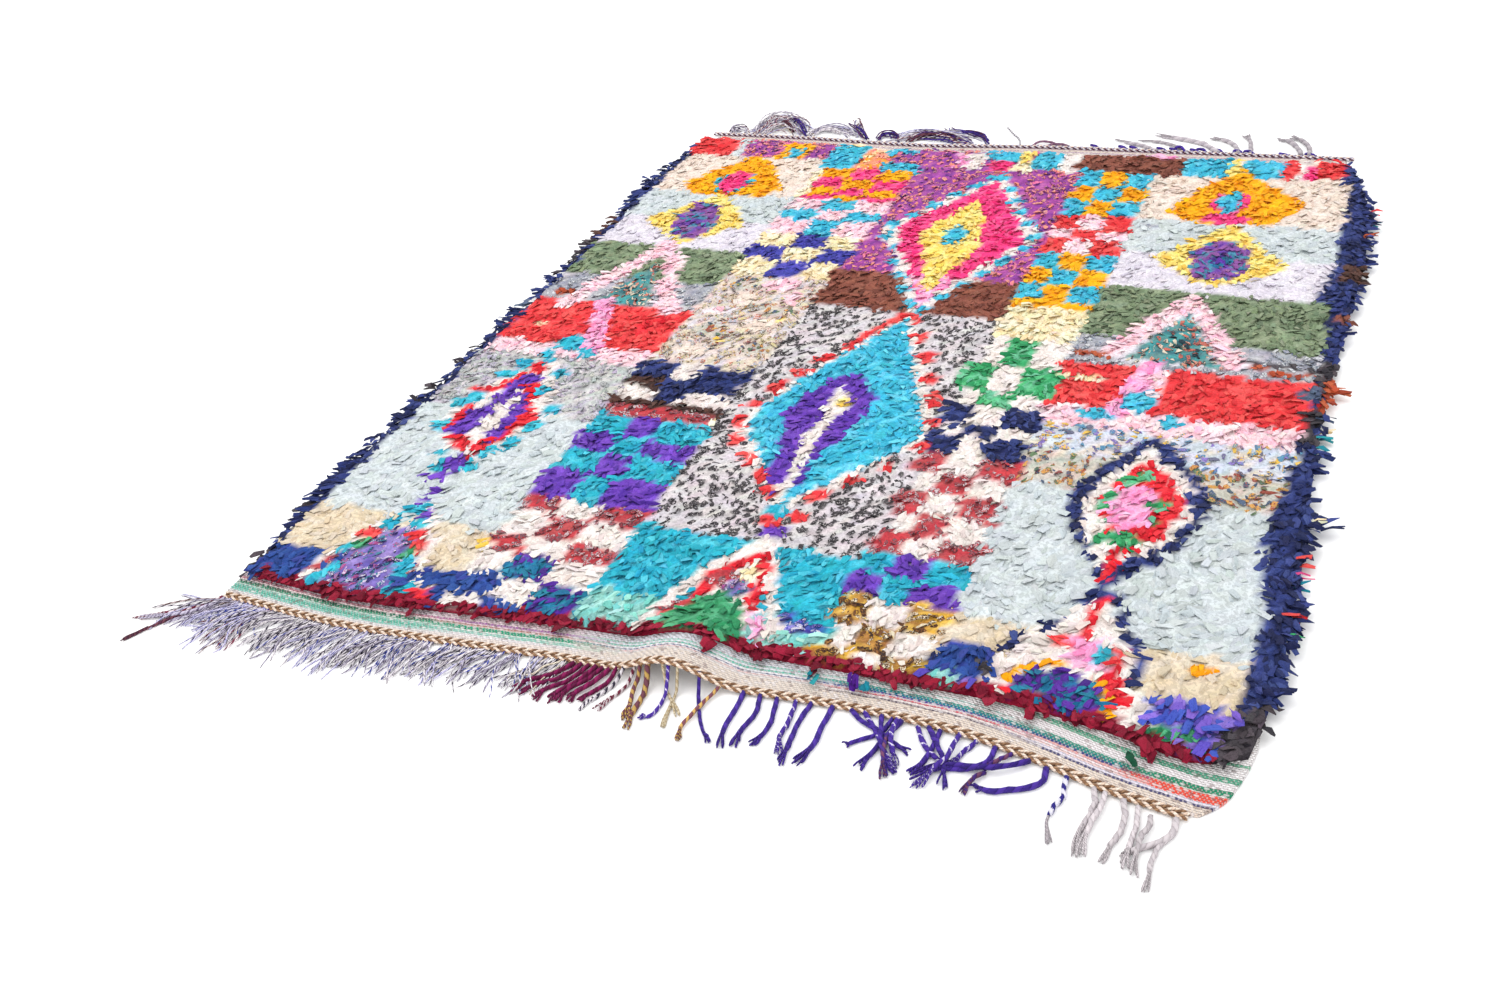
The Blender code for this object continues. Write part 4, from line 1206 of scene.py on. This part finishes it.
farTassels = (
    ("charcoalWhite", 1.6, 0.0, 22, 905, 10, 945, -8, 970, -36, 1012),
    ("mauve", 2.4, 0.4, 80, 905, 95, 925, 118, 922, 135, 908),
    ("mauve", 2.2, 0.4, 50, 904, 62, 926, 85, 930, 110, 914),
    ("grey", 3.4, 0.3, 325, 908, 290, 935, 255, 948, 223, 966),
    ("grey", 3.0, 0.3, 392, 908, 355, 945, 320, 960, 273, 962),
    ("grey", 4.2, 0.3, 455, 912, 410, 962, 362, 980, 307, 1004),
    ("grey", 4.0, 0.3, 496, 914, 480, 960, 460, 980, 424, 999),
    ("grey", 4.0, 0.3, 520, 915, 515, 955, 508, 990, 496, 1022),
    ("grey", 4.2, 0.3, 622, 918, 612, 955, 592, 990, 560, 1010),
    ("grey", 4.2, 0.3, 638, 918, 632, 965, 614, 1000, 590, 1022),
    *(
        ("violet", 2.6, 0.0, x, 906 + 0.03 * (x - 300), x - 10, 922, x - 24, 928)
        for x in (200, 262, 286, 345, 372, 384, 416, 430, 464, 506, 528, 600, 652)
    ),
)

strand = {
    "rings": 12,
    "sides": 5,
    "fineSides": 4,
    "pitch": 2.2,  # one turn of the plies, in diameters
    "finePitch": 0.015,  # and of the fine yarns' in metres
    "floorAt": 0.6,  # the share of its length where a strand comes down to the floor
    "rootHigh": 0.0042,
    "rootIn": 0.0065,  # how far a near tassel starts inside the twined edge
    "flareYarns": 6,
    "flareRadius": 0.0014,
    "flareSpread": 0.0058,
    "thicker": 1.20,
    "combIn": 0.0060,  # how far inside the twined edge the near yarns start
    "combRadius": 0.0012,
    "crimp": 0.0058,
    "heapRadius": 0.0014,
    "heapRootHigh": 0.004,
    "farthest": 1.04,
    "crossing": 0.012,  # a strand that passes others as near as this lies on them, a layer higher for each
    "layer": 0.0035,
    "seed": 41,
}

# The twined edges: rows of two plies, as a distance out from the cloth's edge and the way that they turn.
twines = {
    "nearTwine": {
        "edge": "nearEdge", "outwards": -1, "rows": ((-0.0024, 1), (0.0048, -1)), "pitch": 0.0168, "radius": 0.0020,
        "yarns": ("brown", "peach", "peach", "brown"), "node": "near_fringe", "slot": "near_yarn",
    },
    "farTwine": {
        "edge": "farEdge", "outwards": 1, "rows": ((0.0040, 1), (0.0104, -1)), "pitch": 0.0140, "radius": 0.0018,
        "yarns": ("maroon", "white", "peach", "lilacGrey"), "node": "far_fringe", "slot": "far_yarn",
    },
}
winding = {"twist": 0.0017, "low": 0.72, "step": 0.0022, "high": 0.0042, "pliesPitch": 0.008}


def yarnFinish():
    yarn = Finish("yarn", clothShader)
    around, turns = yarn.parts(yarn.uv("yarn"))
    turn = (around + turns) % 1
    fibres = yarn.noise(yarn.stretch(yarn.uv("yarn"), (9.0, 2.2, 1.0)), 1.0, 3.0, 0.6)
    fuzz = (fibres - 0.5) * 0.9
    colour = yarn.mix(turn + fuzz < yarn.attribute("share", 2), yarn.attribute("shade"), yarn.attribute("second"))
    ply = (turn * 2) % 1 - 0.5
    hump = 1 - 4 * ply * ply
    # painted shade in the grooves between the plies: the colour darkens towards its own square there
    plyShade = yarn.sharpen(hump, 0.45, 0.0)
    colour = yarn.mix(plyShade * 0.5, colour, yarn.mix(1.0, colour, colour, "MULTIPLY"))
    return yarn.finish(colour, yarn.bump(hump + 0.5 * fibres, 0.0012), 0.92)


# A route's course at the given shares of its length: the smooth curve through its places.
def course(route, at):
    places = np.array(route)
    gone = np.concatenate([[0.0], np.cumsum(np.linalg.norm(np.diff(places, axis=0), axis=1))])
    return curve(gone / gone[-1], places, at)


# Strands lying on the floor from their places seen from above: each starts at the edge's height and falls along a
# parabola to the floor, or to its own level in a heap, by the share of its length that floorAt gives.
def laid(flat, radius, level, rootHigh):
    t = np.linspace(0.0, 1.0, flat.shape[1])
    fall = np.clip(1 - t / strand["floorAt"], 0.0, 1.0) ** 2
    resting = radius[:, None] + level * np.sin(np.pi * np.clip(t, 0, 1)) ** 0.7
    high = np.maximum(resting, rootHigh[:, None] * fall + 0.3 * resting * (1 - fall))
    return np.concatenate([flat, high[..., None]], -1)


# One piece of strands: round each place on each path a ring of points, of the radius given for that place.
def buildStrands(name, paths, radii, kinds, sides, material, node, slotName, pitch=None):
    count, rings = radii.shape
    ahead = np.gradient(paths, axis=1)
    ahead /= np.linalg.norm(ahead, axis=-1, keepdims=True)
    side = np.cross((0.0, 0.0, 1.0), ahead)
    side /= np.linalg.norm(side, axis=-1, keepdims=True)
    up = np.cross(ahead, side)
    angle = 2 * np.pi * (np.arange(sides) + 0.5) / sides
    ring = np.cos(angle)[:, None] * side[:, :, None] + np.sin(angle)[:, None] * up[:, :, None]
    points = paths[:, :, None] + ring * radii[..., None, None]
    points[..., 2] = np.maximum(points[..., 2], 0.0002)
    start = rings * sides * np.arange(count)[:, None, None]
    tube = gridFaces(rings, sides, wrap=True).reshape(-1, 4)
    ends = np.array([np.arange(sides)[::-1], np.arange(sides) + sides * (rings - 1)])
    faces = [(group[None] + start).reshape(-1, group.shape[1]) for group in (tube, ends)]
    piece = newPiece(name, points.reshape(-1, 3), faces, material, node)

    each = rings * sides
    first, second = (linear([yarns[yarnNames[k]][place] for k in kinds]) for place in (0, 1))
    lighter = np.exp(np.random.default_rng(strand["seed"]).normal(0, 0.10, (count, 1)))
    addColours(piece, "shade", np.repeat(np.clip(first * lighter, 0, 0.92), each, axis=0))
    addColours(piece, "second", np.repeat(np.clip(second * lighter, 0, 0.92), each, axis=0))
    addNumbers(piece, "share", np.repeat([yarns[yarnNames[k]][2] for k in kinds], each))
    gone = np.zeros((count, rings))
    gone[:, 1:] = np.cumsum(np.linalg.norm(np.diff(paths, axis=1), axis=-1), axis=1)
    turns = gone / (pitch or strand["pitch"] * 2 * np.max(radii, axis=1, keepdims=True))
    i, j = np.meshgrid(np.arange(rings - 1), np.arange(sides), indexing="ij")
    v = turns[:, np.stack([i, i, i + 1, i + 1], -1).reshape(-1, 4)]
    u = np.broadcast_to(np.stack([j, j + 1, j + 1, j], -1).reshape(-1, 4) / sides, v.shape)
    capV = np.repeat(turns[:, [0, -1], None], sides, axis=2)
    capU = np.broadcast_to(np.stack([np.arange(sides)[::-1], np.arange(sides)]) / sides, capV.shape)
    addUv(piece, "yarn", [np.stack([u, v], -1), np.stack([capU, capV], -1)])
    return piece


# The twined edge: in each row two plies wind round each other, so each one's centre turns about the row's line.
def buildTwine(name, material):
    facts = twines[name]
    edge = facts["edge"]
    x0, x1 = cloth[edge][0][0], cloth[edge][-1][0]
    x = np.linspace(x0 + 0.003, x1 - 0.003, round((x1 - x0) / winding["step"]))
    y = along(edge, x)
    slope = np.gradient(y, x)
    normal = np.stack([-slope, np.ones_like(slope)], -1) * facts["outwards"] / np.hypot(1, slope)[:, None]
    paths = []
    for number, (out, way) in enumerate(facts["rows"]):
        for ply in (0, 1):
            turn = 2 * np.pi * (x / facts["pitch"] + 0.5 * ply + 0.25 * number)
            across = out + winding["twist"] * np.cos(turn) * way
            high = winding["high"] + winding["twist"] * winding["low"] * np.sin(turn)
            flat = np.stack([x, y], -1) + normal * across[:, None]
            paths.append(np.concatenate([flat, (lift(x, y) + high)[:, None]], -1))
    paths = np.array(paths)
    radii = np.full(paths.shape[:2], facts["radius"])
    radii[:, [0, -1]] *= 0.4
    kinds = [yarnNames.index(kind) for kind in facts["yarns"]]
    buildStrands(name, paths, radii, kinds, 6, material, facts["node"], facts["slot"], pitch=winding["pliesPitch"])


# A random wave along each strand, of a random number of turns between the two given.
def ripple(count, turns, t, rng):
    return np.sin(2 * np.pi * (rng.uniform(*turns, (count, 1)) * t + rng.uniform(0, 1, (count, 1))))


# A comb of fine yarns along the near edge: its strands lean with their patch and curl more towards their tips.
def combStrands(facts, rng):
    count, rings = facts["count"], strand["rings"]
    place = np.sort(rng.uniform(0, 1, count))
    x0, x1 = facts["x"]
    x = x0 + (x1 - x0) * place
    y = along("nearEdge", x) - strand["combIn"]
    longest, varies = facts["long"]
    long = longest * (1 + varies * (rng.uniform(-1, 0.3, count) + 0.5 * drift(x, y, 0.05, 43)))
    lean = facts["lean"][0] + (facts["lean"][1] - facts["lean"][0]) * place
    lean = lean + 0.16 * drift(x, y, 0.09, 44) + 0.18 * drift(x, y, 0.028, 46)
    heading = np.arctan(lean) + rng.normal(0, 0.26, count)
    t = np.linspace(0.0, 1.0, rings)
    gone = long[:, None] * t
    curl = facts["curl"] * rng.normal(0, 1, (count, 1)) * t**2
    curl += strand["crimp"] * rng.normal(0, 1, (count, 1)) * ripple(count, (0.6, 1.6), t, rng) * t
    out = np.stack([np.sin(heading), -np.cos(heading)], -1)[:, None]
    aside = np.stack([np.cos(heading), np.sin(heading)], -1)[:, None]
    flat = np.stack([x, y], -1)[:, None] + out * gone[..., None] + aside * curl[..., None]
    radius = strand["combRadius"] * rng.uniform(0.8, 1.2, count)
    level = facts["heap"] * rng.uniform(0, 1, (count, 1)) ** 1.5
    root = strand["rootHigh"] + lift(x, y) + rng.uniform(-0.001, 0.001, count)
    radii = radius[:, None] * np.where(t < 0.97, 1.0, 0.5)
    pick = np.floor(1.6 * drift(x, y, 0.035, 45) + rng.uniform(0, 2.6, count) + 8).astype(int)
    kinds = [yarnNames.index(facts["yarns"][k % len(facts["yarns"])]) for k in pick]
    return laid(flat, radius, level, root), radii, kinds


# A heap of fine yarns along one route, each a little aside from it.
def heapStrands(facts, rng):
    count, spread, high, names, *route = facts
    rings = strand["rings"]
    start = rng.uniform(0.0, 0.25, (count, 1))
    t = start + (rng.uniform(0.55, 1.0, (count, 1)) - start) * np.linspace(0.0, 1.0, rings)
    middle = course(pairs(route), t)
    ahead = np.gradient(middle, axis=1)
    aside = np.stack([ahead[..., 1], -ahead[..., 0]], -1) / np.linalg.norm(ahead, axis=-1, keepdims=True)
    off = rng.normal(0, 1, (count, 1)) * (0.4 + 0.6 * t)
    off += 0.7 * ripple(count, (0.5, 1.5), t, rng)
    off += 0.5 * ripple(count, (2.0, 3.2), t, rng) * t
    flat = middle + aside * (np.clip(off, -1.7, 1.7) * (spread / 1000))[..., None]
    flat[..., 1] = np.minimum(flat[..., 1], strand["farthest"])
    radius = strand["heapRadius"] * rng.uniform(0.7, 1.3, count)
    level = high / 1000 * rng.uniform(0.1, 1, (count, 1))
    radii = np.repeat(radius[:, None], rings, axis=1)
    kinds = [yarnNames.index(names[k % len(names)]) for k in rng.integers(0, 60, count)]
    return laid(flat, radius, level, np.full(count, strand["heapRootHigh"])), radii, kinds


# The tassels: each one's cord, and the fine yarns that it opens into over its last part.
def tasselStrands(tassels, rng):
    rings = strand["rings"]
    cords, fine = [], []
    taken = []
    for name, radius, flared, *route in tassels:
        kind = yarnNames.index(name)
        thick = radius / 1000 * strand["thicker"]
        t = np.linspace(0.0, 1.0, rings)
        route = np.array(pairs(route))
        if -0.018 < route[0, 1] - along("nearEdge", route[0, 0]) < 0:
            route[0, 1] += strand["rootIn"]
        root = strand["rootHigh"] + lift(*route[0])
        # a strand that crosses others lies on them
        middle = route[len(route) // 2]
        near = sum(np.min(np.linalg.norm(other - middle, axis=1)) < strand["crossing"] for other in taken)
        taken.append(course(route, t))
        level = min(near, 3) * strand["layer"]
        if flared < 0.9:
            cordEnd = 1 - flared * 0.75
            flat = course(route, t * cordEnd)
            flat += thick * 0.16 * rng.normal(0, 1, flat.shape) * np.sin(np.pi * t)[:, None]
            path = laid(flat[None], np.array([thick * 0.85]), level, np.array([root]))[0]
            radii = thick * np.where(t < 0.93, 1.0, 0.72) * (1 + 0.06 * rng.normal(0, 1, rings))
            cords.append((path, radii, kind))
        if flared == 0:
            continue
        for _ in range(strand["flareYarns"]):
            begin = max(1 - flared, 0.0)
            end = rng.uniform(0.90, 1.03)
            flat = course(route, np.clip(begin + (end - begin) * t, 0, 1))
            ahead = flat[-1] - flat[0]
            ahead /= np.linalg.norm(ahead)
            flat += ahead * max(end - 1, 0) * 0.05 * t[:, None]
            aside = np.array([ahead[1], -ahead[0]])
            bulge = rng.uniform(-1, 1) * (0.45 + 0.55 * t) + 0.12 * rng.normal() * np.sin(np.pi * t)
            bulge = bulge * strand["flareSpread"] * thick / 0.003
            flat += aside * bulge[:, None] * np.minimum(1, 0.3 + t)[:, None]
            high = strand["flareRadius"] + (thick * rng.uniform(0.2, 1.2) + level * (1 - begin)) * (1 - 0.7 * t)
            path = np.concatenate([flat, high[:, None]], -1)
            radii = strand["flareRadius"] * rng.uniform(0.8, 1.3) * np.where(t < 0.97, 1.0, 0.45)
            fine.append((path, radii, kind))
    return cords, fine


def stacked(strands):
    paths, radii, kinds = zip(*strands)
    return np.array(paths), np.array(radii), list(kinds)


def joined(groups):
    paths, radii, kinds = zip(*groups)
    return np.concatenate(paths), np.concatenate(radii), sum(kinds, [])


def buildFringe(material):
    rng = np.random.default_rng(strand["seed"])
    ends = (("near", combStrands, nearCombs, nearTassels), ("far", heapStrands, farHeaps, farTassels))
    for end, strands, groups, tassels in ends:
        home = material, end + "_fringe", end + "_yarn"
        yarn = joined([strands(facts, rng) for facts in groups])
        buildStrands(end + "Yarns", *yarn, strand["fineSides"], *home, strand["finePitch"])
        cords, fine = tasselStrands(tassels, rng)
        buildStrands(end + "Tassels", *stacked(cords), strand["sides"], *home)
        buildStrands(end + "TasselEnds", *stacked(fine), strand["fineSides"], *home)
    for name in twines:
        buildTwine(name, material)


# The view and the light.

view = {
    "azimuth": 27.95,
    "elevation": 35.23,
    "roll": -8.28,
    "distance": 2.259,
    "target": (-0.042, -0.513, 0.0),
    "focal": 1437.0,  # in pixels of a photo of this width
    "photoWidth": 1500.0,
    "sensor": 36.0,
}


def buildCamera():
    azimuth, elevation, roll = (math.radians(view[key]) for key in ("azimuth", "elevation", "roll"))
    level = math.cos(elevation)
    back = np.array([math.sin(azimuth) * level, -math.cos(azimuth) * level, math.sin(elevation)])
    right = np.array([math.cos(azimuth), math.sin(azimuth), 0.0])
    up = np.cross(back, right)
    rolledRight = math.cos(roll) * right + math.sin(roll) * up
    rolledUp = math.cos(roll) * up - math.sin(roll) * right
    turn = Matrix(np.stack([rolledRight, rolledUp, back], 1).tolist()).to_4x4()
    data = bpy.data.cameras.new("camera")
    data.sensor_fit = "HORIZONTAL"
    data.sensor_width = view["sensor"]
    data.lens = view["focal"] / view["photoWidth"] * view["sensor"]
    data.clip_end = 60.0
    camera = bpy.data.objects.new("camera", data)
    camera.matrix_world = Matrix.Translation((np.array(view["target"]) + back * view["distance"]).tolist()) @ turn
    bpy.context.collection.objects.link(camera)
    bpy.context.scene.camera = camera


light = {
    "sky": 1.32,
    "lamps": (
        # place, size, power
        ((-1.1, -0.9, 3.2), 1.6, 26.0),
        ((0.6, 1.2, 3.4), 2.6, 12.0),
    ),
    "floor": 14.0,
}


def buildRoom():
    world = bpy.data.worlds.new("room")
    world.use_nodes = True
    world.node_tree.nodes["Background"].inputs["Color"].default_value = (1.0, 1.0, 1.0, 1.0)
    world.node_tree.nodes["Background"].inputs["Strength"].default_value = light["sky"]
    bpy.context.scene.world = world
    for number, (place, size, power) in enumerate(light["lamps"]):
        data = bpy.data.lights.new(f"lamp{number}", "AREA")
        data.shape = "DISK"
        data.size = size
        data.energy = power
        lamp = bpy.data.objects.new(f"lamp{number}", data)
        facing = np.array(place) / np.linalg.norm(place)
        aside = np.cross((0.0, 0.0, 1.0), facing)
        aside /= np.linalg.norm(aside)
        turn = Matrix(np.stack([aside, np.cross(facing, aside), facing], 1).tolist()).to_4x4()
        lamp.matrix_world = Matrix.Translation(place) @ turn
        bpy.context.collection.objects.link(lamp)
    half = light["floor"] / 2
    mesh = bpy.data.meshes.new("floor")
    mesh.from_pydata([(-half, -half, 0), (half, -half, 0), (half, half, 0), (-half, half, 0)], [], [(0, 1, 2, 3)])
    white = Finish("floorWhite", {"Roughness": 0.9, "Specular IOR Level": 0.1, "Base Color": (0.94, 0.94, 0.94, 1.0)})
    mesh.materials.append(white.material)
    floor = bpy.data.objects.new("floor", mesh)
    floor.location.z = -0.0008
    bpy.context.collection.objects.link(floor)


buildCamera()
buildRoom()
print("rug: the view and the light are set")
ragMaterial = ragFinish()
buildPile(ragMaterial)
buildBed(bedFinish())
print("rug: the pile is laid")
buildGround(groundFinish())
print("rug: the ground cloth is woven")
buildFringe(yarnFinish())
print("rug: the edges are twined and the fringes are laid")

bpy.context.scene.view_settings.view_transform = "Standard"
